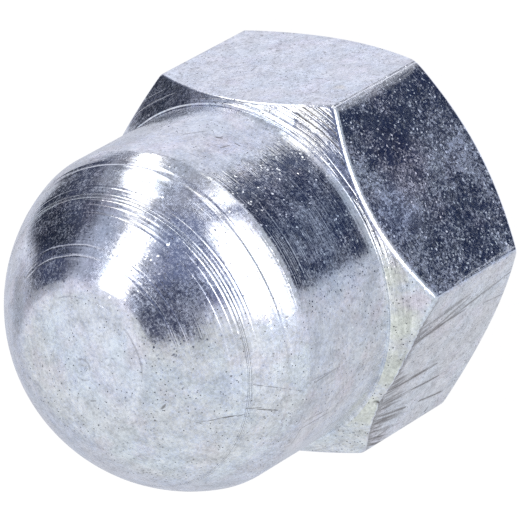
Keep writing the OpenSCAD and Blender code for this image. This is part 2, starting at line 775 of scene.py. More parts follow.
@dataclass
class SkinBuilder:
    """Collects the vertices and faces of one closed mesh.

    Attributes:
        vertices: the points.
        below_lip: each point's distance below the burred lip, or below 0.
        faces: the numbers of each face's corners.
        zones: the zone of each face.
    """

    vertices: list[Vector] = field(default_factory=list)
    below_lip: list[float] = field(default_factory=list)
    faces: list[list[int]] = field(default_factory=list)
    zones: list[Zone] = field(default_factory=list)

    def add(self, point: Vector, below_lip: float = -1.0) -> int:
        """Adds a vertex.

        Args:
            point: its place.
            below_lip: its distance below the burred lip, or below 0.

        Returns:
            Its number.
        """
        self.vertices.append(point)
        self.below_lip.append(below_lip)
        return len(self.vertices) - 1

    def ring(self, angles: Sequence[float], stations: Sequence[Station]) -> list[int]:
        """Adds one closed row of vertices and returns their numbers."""
        return [
            self.add(polar(station.radius, angle, station.height), station.below_lip)
            for angle, station in zip(angles, stations)
        ]

    def level_ring(self, angles: Sequence[float], station: Station) -> list[int]:
        """Adds one closed row of vertices at a single radius and height."""
        return self.ring(angles, [station] * len(angles))

    def face(self, corners: Sequence[int], zone: Zone) -> None:
        """Adds a face, without corners that repeat.

        Args:
            corners: numbers of its corners.
            zone: its zone.
        """
        kept = [c for i, c in enumerate(corners) if c != corners[i - 1]]
        if len(set(kept)) > 2:
            self.faces.append(kept)
            self.zones.append(zone)

    def band(self, low: Sequence[int], high: Sequence[int], zones: Union[Zone, Sequence[Zone]]) -> None:
        """Joins two rings with as many vertices each.

        Args:
            low: the lower ring.
            high: the upper ring.
            zones: zone of the whole band, or of each face.
        """
        count = len(low)
        for i in range(count):
            j = (i + 1) % count
            self.face([low[i], low[j], high[j], high[i]], zones if isinstance(zones, Zone) else zones[i])

    def tower(self, ring: Sequence[int], zone: Zone, angles: Sequence[float],
              stations: Sequence[Station]) -> Sequence[int]:
        """Adds level rings on top of a ring, each joined to the one before.

        Args:
            ring: the ring to start from.
            zone: zone of the first band.
            angles: angles of the vertices.
            stations: the new rings, each with the zone of the band after it.

        Returns:
            The last ring.
        """
        for station in stations:
            above = self.level_ring(angles, station)
            self.band(ring, above, zone)
            ring, zone = above, station.zone
        return ring

    def step_down(self, fine: Sequence[int], coarse: Sequence[int], zone: Zone) -> None:
        """Joins a ring to one with a quarter as many vertices.

        Args:
            fine: the ring with four vertices for each coarse one.
            coarse: the ring with fewer vertices.
            zone: zone of the faces.
        """
        count = len(coarse)
        for i in range(count):
            a, b, c, d, e = (fine[(COARSENING * i + k) % len(fine)] for k in range(COARSENING + 1))
            here, there = coarse[i], coarse[(i + 1) % count]
            for corners in ([a, b, here], [b, c, here], [c, there, here], [c, d, there], [d, e, there]):
                self.face(corners, zone)

    def cap(self, ring: Sequence[int], tip_height: float, zone: Zone) -> None:
        """Closes a ring with a fan to a point on the axis.

        Args:
            ring: the ring.
            tip_height: height of the point.
            zone: zone of the fan.
        """
        tip = self.add(Vector((0, 0, tip_height)))
        for i, corner in enumerate(ring):
            self.face([corner, ring[(i + 1) % len(ring)], tip], zone)


@dataclass
class CapNut:
    """The whole nut as one closed skin, with its finishes.

    Attributes:
        hexagon: the wrench hexagon.
        collar: the round collar.
        dome: the dome with its end face.
        hole: the threaded hole.
        dents: the knocks in its surface.
        sector_columns: columns of vertices to each side of the hexagon.
        fine_columns: columns on the side with the burred edge.
        rounding_columns: how many of them lie in the two roundings of a side.
        crowding: how strongly the columns crowd towards the corners.
        normal_evening: how strongly large faces set the shading of their edges.
    """

    hexagon: Hexagon
    collar: Collar
    dome: Dome
    hole: ThreadedHole
    dents: tuple[Dent, ...]
    sector_columns: int = 64
    fine_columns: int = 132
    rounding_columns: int = 8
    crowding: float = 1.5
    normal_evening: int = 60

    def angles(self) -> list[float]:
        """Places the columns close together at the corners and along the burred edge.

        Returns:
            Their angles round the axis, in order.
        """
        half = self.hexagon.rounding_angle
        steps = self.rounding_columns // 2
        result = []
        for number in range(6):
            start = number * SECTOR
            burred = MARKED_SECTORS.get(number) is Zone.DRAGGED_FLAT
            flat = (self.fine_columns if burred else self.sector_columns) - self.rounding_columns
            shares = (0.0, *graded_cuts(flat - 1, self.crowding))
            result += [start + half * i / steps for i in range(steps)]
            result += [start + half + (SECTOR - 2 * half) * share for share in shares]
            result += [start + SECTOR - half + half * i / steps for i in range(steps)]
        return result

    def build(self) -> bpy.types.Object:
        """Builds the nut's mesh.

        Returns:
            The new object, in metres.
        """
        skin = SkinBuilder()
        angles = self.angles()
        columns = [
            self.hexagon.outline(angle) + self.collar.outline() + self.dome.side_outline(angle)
            for angle in angles
        ]
        rings = [skin.ring(angles, row) for row in zip(*columns)]
        middles = [(first + second) / 2 for first, second in zip(angles, [*angles[1:], math.tau])]
        for low, high, station in zip(rings, rings[1:], columns[0]):
            skin.band(low, high, [self.hexagon.zone_at(middle, station.zone) for middle in middles])
        self.close_end(skin, rings[-1], angles)
        mouth = self.cut_hole(skin, angles[::COARSENING])
        skin.step_down(rings[0], mouth, Zone.BEARING)
        for dent in self.dents:
            skin.vertices = [dent.moved(point) for point in skin.vertices]
        return self.finished_object(skin)

    def close_end(self, skin: SkinBuilder, rim: Sequence[int], angles: Sequence[float]) -> None:
        """Adds the end face.

        Args:
            skin: the mesh.
            rim: the last ring of the dome's flank.
            angles: the columns' angles.
        """
        zone = Zone.END_FACE
        first, second, *inner = self.dome.face_outline()
        edge = skin.tower(rim, Zone.DOME, angles, [*self.dome.edge_outline(), first])
        coarse_angles = angles[::COARSENING]
        ring = skin.level_ring(coarse_angles, second)
        skin.step_down(edge, ring, zone)
        ring = skin.tower(ring, zone, coarse_angles, inner)
        skin.cap(ring, self.dome.height - self.dome.pip(0), zone)

    def cut_hole(self, skin: SkinBuilder, angles: Sequence[float]) -> list[int]:
        """Adds the threaded hole. Its rows follow the thread.

        Args:
            skin: the mesh.
            angles: the columns' angles.

        Returns:
            The ring at the mouth of the hole.
        """
        hole = self.hole
        mouth = skin.level_ring(angles, Station(hole.mouth_radius, 0, Zone.THREAD))
        end = skin.level_ring(angles, Station(hole.bore_radius, hole.depth, Zone.THREAD))
        count = len(hole.phases)
        columns = []
        for angle in angles:
            rows = {}
            for number, height in hole.column(angle / math.tau):
                phase = hole.phases[number % count]
                rows[number] = skin.add(polar(hole.radius_at(height, phase), angle, height))
            columns.append(rows)
        columns.append({number - count: vertex for number, vertex in columns[0].items()})
        for i in range(len(angles)):
            j = (i + 1) % len(angles)
            self.thread_strip(skin, columns[i], columns[i + 1], (mouth[i], mouth[j]), (end[i], end[j]))
        ring = skin.tower(end, Zone.THREAD, angles, hole.point_outline())
        skin.cap(ring, hole.point_height(0), Zone.THREAD)
        return mouth

    @staticmethod
    def thread_strip(skin: SkinBuilder, left: dict[int, int], right: dict[int, int],
                     mouth: tuple[int, int], end: tuple[int, int]) -> None:
        """Fills the strip between two columns of the hole.

        Args:
            skin: the mesh.
            left: vertices of the left column by row number.
            right: vertices of the right column by row number.
            mouth: the two columns' vertices at the mouth.
            end: the two columns' vertices at the end of the bore.
        """
        shared = sorted(set(left) & set(right))
        low, high = shared[0], shared[-1]
        left_low = [left[n] for n in sorted(left, reverse=True) if n < low]
        right_low = [right[n] for n in sorted(right) if n < low]
        skin.face([*left_low, *mouth, *right_low, right[low], left[low]], Zone.THREAD)
        for first, second in zip(shared, shared[1:]):
            skin.face([left[first], right[first], right[second], left[second]], Zone.THREAD)
        left_high = [left[n] for n in sorted(left, reverse=True) if n > high]
        right_high = [right[n] for n in sorted(right) if n > high]
        skin.face([left[high], right[high], *right_high, end[1], end[0], *left_high], Zone.THREAD)

    def finished_object(self, skin: SkinBuilder) -> bpy.types.Object:
        """Turns the collected skin into a smooth-shaded object.

        Args:
            skin: the finished skin.

        Returns:
            The object.
        """
        mesh = bpy.data.meshes.new(PIECE)
        mesh.from_pydata([point * MM for point in skin.vertices], [], skin.faces)
        mesh.polygons.foreach_set("material_index", [zone.value for zone in skin.zones])
        below_lip = mesh.attributes.new("below_lip", "FLOAT", "POINT")
        below_lip.data.foreach_set("value", skin.below_lip)
        tidy = bmesh.new()
        tidy.from_mesh(mesh)
        bmesh.ops.recalc_face_normals(tidy, faces=tidy.faces[:])
        open_edges = sum(1 for edge in tidy.edges if not edge.is_manifold)
        volume = tidy.calc_volume(signed=True) / MM**3
        LOG.info("%s: %d faces, %d open edges, %.1f mm3", PIECE, len(tidy.faces), open_edges, volume)
        tidy.to_mesh(mesh)
        tidy.free()
        mesh.shade_smooth()
        piece = bpy.data.objects.new(PIECE, mesh)
        bpy.context.scene.collection.objects.link(piece)
        piece.modifiers.new("even_normals", "WEIGHTED_NORMAL").weight = self.normal_evening
        return piece


# ---- Node wiring


@dataclass
class Wiring:
    """A node tree with short calls for the nodes that the finishes use."""

    tree: Tree

    @classmethod
    def of(cls, owner: Union[bpy.types.Material, bpy.types.World]) -> "Wiring":
        """Wiring for the nodes of a material or a world.

        Args:
            owner: the material or the world. Its own nodes are removed.

        Returns:
            The wiring.
        """
        owner.use_nodes = True
        owner.node_tree.nodes.clear()
        return cls(owner.node_tree)

    def feed(self, socket: Socket, value: Input) -> None:
        """Links a socket, or sets its value.

        Args:
            socket: the input.
            value: an output to link, or a value. A plain colour is made opaque.
        """
        if isinstance(value, Socket):
            self.tree.links.new(value, socket)
        else:
            socket.default_value = (*value, 1.0) if socket.type == "RGBA" else value

    def node(self, kind: str, inputs: Mapping[Union[int, str], Input], **settings: object) -> bpy.types.Node:
        """Adds a node.

        Args:
            kind: the node's type.
            inputs: link or value by the input's name or number.
            settings: the node's properties.

        Returns:
            The node.
        """
        made = self.tree.nodes.new(kind)
        for name, value in settings.items():
            setattr(made, name, value)
        for name, value in inputs.items():
            self.feed(made.inputs[name], value)
        return made

    def source(self, kind: str, output: str, **settings: object) -> Socket:
        """An output of a new node that needs no input."""
        return self.node(kind, {}, **settings).outputs[output]

    def math(self, operation: str, *values: Input, clamp: bool = False) -> Socket:
        """A math node's result; with clamp it stays between 0 and 1."""
        made = self.node("ShaderNodeMath", dict(enumerate(values)), operation=operation, use_clamp=clamp)
        return made.outputs[0]

    def times(self, *factors: Input) -> Socket:
        """The product of two or more values."""
        return reduce(partial(self.math, "MULTIPLY"), factors)

    def minus(self, first: Input, second: Input, clamp: bool = False) -> Socket:
        """The difference of two values."""
        return self.math("SUBTRACT", first, second, clamp=clamp)

    def plus(self, base: Input, value: Input, factor: Input, clamp: bool = False) -> Socket:
        """A base plus a value times a factor."""
        return self.math("MULTIPLY_ADD", value, factor, base, clamp=clamp)

    def highest(self, *values: Input) -> Socket:
        """The highest of two or more values."""
        return reduce(partial(self.math, "MAXIMUM"), values)

    def apart(self, first: Input, second: Input) -> Socket:
        """How far apart two values are."""
        return self.math("ABSOLUTE", self.minus(first, second))

    def vector(self, operation: str, *values: Input, scale: Optional[Input] = None) -> Socket:
        """A vector math node's result.

        Args:
            operation: name of the operation.
            values: its vectors.
            scale: its factor, where it has one.

        Returns:
            The result, which is a number for a dot product or a distance.
        """
        inputs = dict(enumerate(values))
        if scale is not None:
            inputs["Scale"] = scale
        made = self.node("ShaderNodeVectorMath", inputs, operation=operation)
        return made.outputs["Value" if operation in ("DOT_PRODUCT", "DISTANCE") else "Vector"]

    def split(self, value: Input) -> Sequence[Socket]:
        """The three components of a vector or a colour."""
        return self.node("ShaderNodeSeparateXYZ", {0: value}).outputs[:]

    def join(self, x: Input, y: Input, z: Input = 0.0) -> Socket:
        """A vector from its components."""
        return self.node("ShaderNodeCombineXYZ", {"X": x, "Y": y, "Z": z}).outputs[0]

    def ramp(self, value: Input, start: Input, end: Input, low: Input = 0.0, high: Input = 1.0) -> Socket:
        """Smooth step from low to high, as a value goes from start to end."""
        inputs = {"Value": value, "From Min": start, "From Max": end, "To Min": low, "To Max": high}
        return self.node("ShaderNodeMapRange", inputs, interpolation_type="SMOOTHSTEP").outputs["Result"]

    def mix(self, factor: Input, first: Input, second: Input) -> Socket:
        """A mix of two colours."""
        inputs = {"Factor": factor, 6: first, 7: second}
        return self.node("ShaderNodeMix", inputs, data_type="RGBA").outputs[2]

    def noise(self, place: Input, scale: Input, detail: float = 2.0, roughness: float = 0.5,
              output: str = "Fac") -> Socket:
        """A noise texture at a place in millimetres."""
        inputs = {"Vector": place, "Scale": scale, "Detail": detail, "Roughness": roughness}
        return self.node("ShaderNodeTexNoise", inputs).outputs[output]

    def line_noise(self, place: Input) -> Socket:
        """Noise along a line, with one cell to each unit."""
        inputs = {"W": place, "Scale": 1.0, "Detail": 2.0}
        return self.node("ShaderNodeTexNoise", inputs, noise_dimensions="1D").outputs["Fac"]

    def swing(self, place: Input, scale: Input, detail: float = 2.0, roughness: float = 0.5) -> Socket:
        """Noise that swings about zero."""
        return self.minus(self.noise(place, scale, detail, roughness), 0.5)

    def cells(self, place: Input, scale: Input) -> tuple[Socket, Socket]:
        """A cell texture's distances and random colours, at a place in millimetres."""
        made = self.node("ShaderNodeTexVoronoi", {"Vector": place, "Scale": scale})
        return made.outputs["Distance"], made.outputs["Color"]

    def group(self, tree: Tree, **inputs: Input) -> Sockets:
        """The outputs of a new copy of a node group, whose inputs are given by name."""
        return self.node("ShaderNodeGroup", inputs, node_tree=tree).outputs

    def either(self, factor: Socket, first: bpy.types.Node, second: bpy.types.Node) -> bpy.types.Node:
        """A mix of two shaders."""
        return self.node("ShaderNodeMixShader", {0: factor, 1: first.outputs[0], 2: second.outputs[0]})

    def finish(self, shader: bpy.types.Node, kind: str = "Material") -> None:
        """Connects the shader to the output of the material or the world."""
        self.node(f"ShaderNodeOutput{kind}", {"Surface": shader.outputs[0]})


# ---- Studio


@dataclass(frozen=True)
class CameraPlace:
    """Where the camera stands.

    Attributes:
        aim: the point that it looks at.
        azimuth: direction from the aim to the camera, round the vertical, in degrees.
        elevation: its height above the horizon, in degrees.
        distance: distance from the aim.
        roll: turn about its line of sight, in degrees.
        lens: focal length.
        sensor: width of the sensor.
        near_limit: distance at which its view starts.
    """

    aim: tuple[float, float, float] = (0.151, -0.867, 5.126)
    azimuth: float = -87.457
    elevation: float = 46.647
    distance: float = 170.06
    roll: float = 119.866
    lens: float = 450.0
    sensor: float = 36.0
    near_limit: float = 10.0

    def axes(self) -> tuple[Vector, Vector, Vector]:
        """The camera's own directions.

        Returns:
            Its right, its up and its backward direction.
        """
        rise, roll = math.radians(self.elevation), math.radians(self.roll)
        back = polar(math.cos(rise), math.radians(self.azimuth), math.sin(rise))
        level = Vector((0, 0, 1)).cross(back).normalized()
        up = back.cross(level) * math.cos(roll) + level * math.sin(roll)
        return up.cross(back), up, back

    def place(self) -> None:
        """Creates the camera and makes it the scene's own."""
        right, up, back = self.axes()
        data = bpy.data.cameras.new("camera")
        data.lens = self.lens
        data.sensor_width = self.sensor
        data.clip_start = self.near_limit * MM
        camera = bpy.data.objects.new("camera", data)
        turn = Matrix((right, up, back)).transposed().to_4x4()
        spot = Vector(self.aim) * MM + back * (self.distance * MM)
        camera.matrix_world = Matrix.Translation(spot) @ turn
        bpy.context.scene.collection.objects.link(camera)
        bpy.context.scene.camera = camera


@dataclass(frozen=True)
class Panel:
    """A light or dark panel round the nut, as it is seen from the nut.

    Attributes:
        name: what it is.
        azimuth: its middle to the right of the camera, in degrees.
        elevation: its middle above the table line, in degrees.
        width: its width in degrees.
        height: its height in degrees.
        edges: width of its soft sides, and of its soft top and bottom, in degrees.
        glow: its radiance.
        slant: degrees that it leans to the right for each degree of height.
    """

    name: str
    azimuth: float
    elevation: float
    width: float
    height: float
    edges: tuple[float, float]
    glow: Colour
    slant: float = 0.0

    def mask(self, wires: Wiring, azimuth: Socket, elevation: Socket) -> Socket:
        """How much of the panel is seen in a direction.

        Args:
            wires: the world's nodes.
            azimuth: the direction's azimuth in degrees.
            elevation: the direction's elevation in degrees.

        Returns:
            1 in the panel, 0 outside it.
        """
        rise = wires.minus(elevation, self.elevation)
        turn = wires.minus(wires.minus(azimuth, self.azimuth), wires.times(rise, self.slant))
        turn = wires.math("WRAP", turn, 180.0, -180.0)
        masks = []
        for away, size, edge in zip((turn, rise), (self.width, self.height), self.edges):
            masks.append(wires.ramp(wires.math("ABSOLUTE", away), (size + edge) / 2, (size - edge) / 2))
        return wires.times(*masks)


WHITE_TENT: Colour = (0.81, 0.83, 0.95)
TABLE: Colour = (0.72, 0.75, 0.79)

PANELS: tuple[Panel, ...] = (
    Panel("table", 0, -56, 400, 92, (1, 12), TABLE),
    Panel("table_left", -160, -20, 74, 46, (20, 16), (0.60, 0.62, 0.69)),
    Panel("table_edge_left", -115, 1, 58, 16, (20, 8), (0.40, 0.41, 0.47)),
    Panel("table_near_left", -72, -28, 44, 26, (20, 14), (0.80, 0.84, 0.92)),
    Panel("table_near_right", 52, -30, 34, 40, (16, 16), (0.84, 0.87, 0.93)),
    Panel("table_right", 112, -6, 30, 24, (14, 8), (0.62, 0.635, 0.70)),
    Panel("table_far", 138, -34, 56, 30, (16, 14), (0.61, 0.615, 0.67)),
    Panel("ceiling", 0, 82, 400, 22, (1, 10), (0.44, 0.46, 0.54)),
    Panel("ceiling_edge", 180, 68, 36, 18, (16, 10), (0.50, 0.52, 0.60)),
    Panel("dark_top", -6, 67, 76, 26, (16, 12), (0.29, 0.31, 0.40)),
    Panel("left_dim", -162, 15, 34, 32, (12, 10), (0.63, 0.65, 0.73)),
    Panel("dark_left", -103, 34, 92, 36, (12, 10), (0.06, 0.07, 0.12)),
    Panel("dark_left_top", -106, 55, 92, 12, (14, 12), (0.28, 0.29, 0.36)),
    Panel("dark_left_haze", -67, 32, 30, 50, (20, 16), (0.42, 0.46, 0.60)),
    Panel("dark_left_core", -120, 25, 56, 17, (14, 8), (0.02, 0.026, 0.05)),
    Panel("dark_left_foot", -107, 12, 24, 14, (10, 6), (0.02, 0.026, 0.05)),
    Panel("dark_left_low", -98, 13, 30, 14, (10, 6), (0.06, 0.07, 0.13)),
    Panel("dark_front", -5, 28, 70, 60, (10, 10), (0.17, 0.20, 0.34)),
    Panel("dark_front_low", -14, -4, 42, 36, (14, 9), (0.06, 0.07, 0.13)),
    Panel("left_window_haze", -32, 36, 18, 38, (14, 12), (0.50, 0.54, 0.68)),
    Panel("dark_right", 76, 26, 50, 52, (16, 12), (0.50, 0.54, 0.62)),
    Panel("dark_flank_top", 121, 60, 42, 22, (16, 8), (0.06, 0.075, 0.14)),
    Panel("dark_flank", 102, 33.5, 23, 45, (4, 4), (0.018, 0.027, 0.07)),
    Panel("overhead_strip", -100, 68, 58, 13, (6, 5), (3.0, 3.0, 3.0)),
    Panel("overhead_strip_left", -138, 65, 28, 10, (8, 5), (3.0, 3.0, 3.0)),
    Panel("overhead_strip_right", -63, 64, 22, 14, (8, 6), (3.0, 3.0, 3.0)),
    Panel("right_strip_low", 46, 67, 36, 9, (10, 5), (2.6, 2.6, 2.6)),
    Panel("right_strip_high", 96, 71, 80, 12, (12, 6), (1.8, 1.8, 1.8)),
    Panel("left_window_top", -54, 55, 13, 14, (8, 8), (1.3, 1.3, 1.35)),
    Panel("left_window", -45, 24, 18.5, 40, (6, 6), (3.5, 3.5, 3.6), 0.25),
    Panel("right_window", 40, 23, 32, 52, (8, 7), (3.5, 3.5, 3.6), -0.33),
    Panel("right_window_corner", 54, 47, 16, 14, (10, 8), (0.50, 0.53, 0.62)),
    Panel("right_window_gap", 51, 57, 44, 6, (10, 4), (0.16, 0.19, 0.34)),
    Panel("right_blob", 17, 64, 9, 16, (5, 5), (2.8, 2.8, 2.8), -0.83),
)


@dataclass(frozen=True)
class Studio:
    """A light tent with its panels, a white floor and the camera.

    Attributes:
        camera: where the camera stands.
        panels: the panels, each painted over those before it.
        floor_radius: radius of the floor.
        floor_glow: light that the floor gives out.
        floor_colour: its colour in the studio's light.
    """

    camera: CameraPlace = CameraPlace()
    panels: tuple[Panel, ...] = PANELS
    floor_radius: float = 450.0
    floor_glow: float = 0.97
    floor_colour: Colour = (0.06, 0.06, 0.06)

    def build(self) -> None:
        """Creates the camera, the tent and the floor."""
        self.camera.place()
        self.light_tent()
        self.lay_floor()
        bpy.context.scene.view_settings.view_transform = "Standard"
        bpy.context.scene.cycles.use_denoising = False

    def light_tent(self) -> None:
        """Paints the panels round the nut, and plain white for the camera."""
        world = bpy.data.worlds.new("light_tent")
        bpy.context.scene.world = world
        wires = Wiring.of(world)
        direction = wires.source("ShaderNodeTexCoord", "Generated")
        right, up, back = (wires.vector("DOT_PRODUCT", direction, tuple(axis)) for axis in self.camera.axes())
        azimuth = wires.math("DEGREES", wires.math("ARCTAN2", right, back))
        elevation = wires.math("DEGREES", wires.math("ARCSINE", up))
        glow: Input = WHITE_TENT
        for panel in self.panels:
            glow = wires.mix(panel.mask(wires, azimuth, elevation), glow, panel.glow)
        tent = wires.node("ShaderNodeBackground", {"Color": glow})
        plain = wires.node("ShaderNodeBackground", {"Color": (1, 1, 1)})
        to_camera = wires.source("ShaderNodeLightPath", "Is Camera Ray")
        wires.finish(wires.either(to_camera, tent, plain), "World")

    def lay_floor(self) -> None:
        """Creates the white floor. It is clear from below, so that the underside can be seen."""
        mesh = bpy.data.meshes.new("floor")
        disc = bmesh.new()
        bmesh.ops.create_circle(disc, cap_ends=True, segments=96, radius=self.floor_radius * MM)
        disc.to_mesh(mesh)
        disc.free()
        floor = bpy.data.objects.new("floor", mesh)
        floor.visible_glossy = False
        bpy.context.scene.collection.objects.link(floor)
        material = bpy.data.materials.new("floor_white")
        wires = Wiring.of(material)
        white = wires.node("ShaderNodeBsdfPrincipled", {
            "Base Color": self.floor_colour,
            "Roughness": 1.0,
            "Specular IOR Level": 0.0,
            "Emission Color": (1, 1, 1),
            "Emission Strength": self.floor_glow,
        })
        clear = wires.node("ShaderNodeBsdfTransparent", {})
        from_below = wires.source("ShaderNodeNewGeometry", "Backfacing")
        wires.finish(wires.either(from_below, white, clear))
        mesh.materials.append(material)


# ---- Finishes


# Interference colours that the passivated zinc shows
BLUE: Colour = (0.74, 0.81, 0.86)
ROSE: Colour = (0.85, 0.79, 0.84)
STRAW: Colour = (0.83, 0.82, 0.73)
HAZE_BLUE: Colour = (0.64, 0.73, 0.96)

# Kinds of the node groups' sockets, where they aren't plain numbers
SOCKET_KINDS = {
    **dict.fromkeys(("Place", "Start", "End", "Normal"), "Vector"),
    **dict.fromkeys(("Base", "Color"), "Color"),
}


class Sweep(Enum):
    """The direction in which a zone was turned or drawn."""

    HEIGHT = "up the wall"
    INCLINATION = "over the dome"
    RADIUS = "out from the middle"


def begin_group(name: str, inputs: Sequence[str], outputs: Sequence[str]) -> tuple[Wiring, Sockets, Sockets]:
    """Starts a node group.

    Args:
        name: name of the group.
        inputs: names of its inputs.
        outputs: names of its outputs.

    Returns:
        The group's wiring, the sockets that it is given, and those that it feeds.
    """
    tree = bpy.data.node_groups.new(name, "ShaderNodeTree")
    for names, side in ((inputs, "INPUT"), (outputs, "OUTPUT")):
        for socket in names:
            kind = SOCKET_KINDS.get(socket, "Float")
            tree.interface.new_socket(name=socket, in_out=side, socket_type=f"NodeSocket{kind}")
    wires = Wiring(tree)
    return wires, wires.node("NodeGroupInput", {}).outputs, wires.node("NodeGroupOutput", {}).inputs


def plating_grain() -> Tree:
    """The crystals of the zinc: small facets that lean at random and scatter light.

    Returns:
        A group from Place, Size, Tilt and Contrast to Normal, Shade and Scatter.
    """
    wires, given, made = begin_group(
        "plating_grain", ("Place", "Size", "Tilt", "Contrast"), ("Normal", "Shade", "Scatter")
    )
    place = given["Place"]
    middle = (0.5, 0.5, 0.5)
    fineness = wires.math("DIVIDE", 1.0, given["Size"])
    tone = wires.cells(place, fineness)[1]
    facet = wires.vector("SUBTRACT", tone, middle)
    spark = wires.plus(0.6, wires.math("POWER", wires.split(tone)[0], 14.0), 14.0)
    facet = wires.vector("SCALE", facet, scale=spark)
    cloud = wires.noise(place, wires.times(fineness, 0.7), 3.0, 0.65, "Color")
    swell = wires.vector("SUBTRACT", cloud, middle)
    lean = wires.vector("MULTIPLY_ADD", swell, (2.2, 2.2, 2.2), facet)
    lean = wires.vector("SCALE", lean, scale=given["Tilt"])
    tilted = wires.vector("ADD", wires.source("ShaderNodeNewGeometry", "Normal"), lean)
    wires.feed(made["Normal"], wires.vector("NORMALIZE", tilted))
    fleck = wires.noise(place, wires.times(fineness, 0.6), 4.0, 0.75)
    patch = wires.swing(place, wires.times(fineness, 0.12), 4.0, 0.6)
    patch = wires.math("ADD", patch, wires.swing(place, 0.7, 3.0, 0.6))
    wires.feed(made["Scatter"], wires.ramp(wires.plus(fleck, patch, 0.38), 0.38, 0.74))
    mottle = wires.swing(place, wires.times(fineness, 0.5), 5.0, 0.75)
    grey = wires.plus(mottle, wires.swing(place, 2.4, 2.0, 0.6), 0.6)
    wires.feed(made["Shade"], wires.plus(1.0, grey, given["Contrast"]))
    return wires.tree


def turning_lines() -> Tree:
    """The fine lines of the turning tool, which come and go round the part, with painted shade in their
    grooves and painted light on their ridges.

    Returns:
        A group from Along, Place, Spacing and Cover to Height and Shade.
    """
    wires, given, made = begin_group(
        "turning_lines", ("Along", "Place", "Spacing", "Cover"), ("Height", "Shade")
    )
    place, spacing = given["Place"], given["Spacing"]
    along = wires.plus(given["Along"], wires.swing(place, 0.35, 1.0), 0.12)
    turns = wires.math("DIVIDE", along, spacing)
    fine = wires.line_noise(turns)
    coarse = wires.line_noise(wires.times(turns, 0.23))
    share = wires.ramp(wires.noise(place, 0.9, 3.0, 0.6), 0.62, 0.38, 0.35, 1.0)
    share = wires.times(share, given["Cover"])
    height = wires.times(wires.minus(wires.plus(fine, coarse, 1.5), 1.25), share)
    wires.feed(made["Height"], wires.times(height, spacing))
    # Shade: painted shade in the low grooves and painted light on the high ridges, taken from the lines'
    # height
    wires.feed(made["Shade"], wires.plus(1.0, height, 0.6))
    return wires.tree


def pin_specks() -> Tree:
    """Pin-sized dark pores in the plating, which stand in clusters.

    Returns:
        A group from Place, Radius and Share to Mask.
    """
    wires, given, made = begin_group("pin_specks", ("Place", "Radius", "Share"), ("Mask",))
    fineness = 8.5
    distance, tone = wires.cells(given["Place"], fineness)
    rim = wires.times(given["Radius"], fineness)
    disc = wires.ramp(distance, rim, wires.times(rim, 0.4))
    cluster = wires.noise(given["Place"], 0.8, 3.0, 0.6)
    share = wires.times(wires.ramp(cluster, 0.36, 0.66, 0.15, 1.6), given["Share"])
    chosen = wires.math("LESS_THAN", wires.split(tone)[1], share)
    wires.feed(made["Mask"], wires.times(disc, chosen))
    return wires.tree


def hairlines() -> Tree:
    """Short fine handling scratches that lie mostly one way.

    Returns:
        A group from Around, Along, Heading, Length and Share to Mask.
    """
    wires, given, made = begin_group(
        "hairlines", ("Around", "Along", "Heading", "Length", "Share"), ("Mask",)
    )
    flat = wires.join(given["Around"], given["Along"])
    masks = []
    for number, (lean, weight) in enumerate(((-0.22, 1.0), (0.12, 0.8), (0.7, 0.45))):
        inputs = {"Vector": flat, "Angle": wires.math("ADD", given["Heading"], lean)}
        turn = wires.node("ShaderNodeVectorRotate", inputs, rotation_type="Z_AXIS")
        x, y, _ = wires.split(turn.outputs[0])
        x, y = wires.math("DIVIDE", x, given["Length"]), wires.times(y, 7.0 + 2 * number)
        distance, tone = wires.cells(wires.join(x, y, 4.3 * number), 1.0)
        line = wires.ramp(distance, 0.24, 0.06)
        chosen = wires.math("LESS_THAN", wires.split(tone)[2], given["Share"])
        masks.append(wires.times(line, chosen, weight))
    wires.feed(made["Mask"], wires.highest(*masks))
    return wires.tree


def fibre_marks() -> Tree:
    """Fine curled marks, like fibres, that lie about in no order.

    Returns:
        A group from Place and Share to Mask.
    """
    wires, given, made = begin_group("fibre_marks", ("Place", "Share"), ("Mask",))
    masks = []
    for number, (scale, width) in enumerate(((1.7, 0.011), (3.1, 0.02))):
        shifted = wires.vector("ADD", given["Place"], (3.7 * number, 1.9, 5.3))
        away = wires.apart(wires.noise(shifted, scale, 4.0, 0.55), 0.5)
        line = wires.ramp(away, width, width * 0.3)
        shown = wires.noise(shifted, 2.9 * scale)
        start = wires.minus(0.72, wires.times(given["Share"], 0.22))
        shown = wires.ramp(shown, start, wires.math("ADD", start, 0.07))
        masks.append(wires.times(line, shown))
    wires.feed(made["Mask"], wires.highest(*masks))
    return wires.tree


def stroke_mark() -> Tree:
    """One straight stroke with a tapered, slightly torn line.

    Returns:
        A group from Place, Start, End and Width to Mask.
    """
    wires, given, made = begin_group("stroke_mark", ("Place", "Start", "End", "Width"), ("Mask",))
    place, start = given["Place"], given["Start"]
    axis = wires.vector("SUBTRACT", given["End"], start)
    away = wires.vector("SUBTRACT", place, start)
    reach = wires.vector("DOT_PRODUCT", axis, axis)
    share = wires.math("DIVIDE", wires.vector("DOT_PRODUCT", away, axis), reach, clamp=True)
    nearest = wires.vector("SCALE", axis, scale=share)
    distance = wires.vector("DISTANCE", away, nearest)
    distance = wires.plus(distance, wires.swing(place, 14.0), 0.03)
    belly = wires.times(share, wires.minus(1.0, share), 4.0)
    taper = wires.plus(0.25, wires.math("POWER", belly, 0.5), 0.75)
    width = wires.times(given["Width"], taper)
    line = wires.ramp(distance, width, wires.times(width, 0.2))
    squeezed = wires.vector("SUBTRACT", away, wires.vector("SCALE", nearest, scale=0.94))
    streaks = wires.ramp(wires.noise(squeezed, 22.0, 3.0, 0.6), 0.32, 0.54, 0.2, 1.0)
    wires.feed(made["Mask"], wires.times(line, streaks))
    return wires.tree


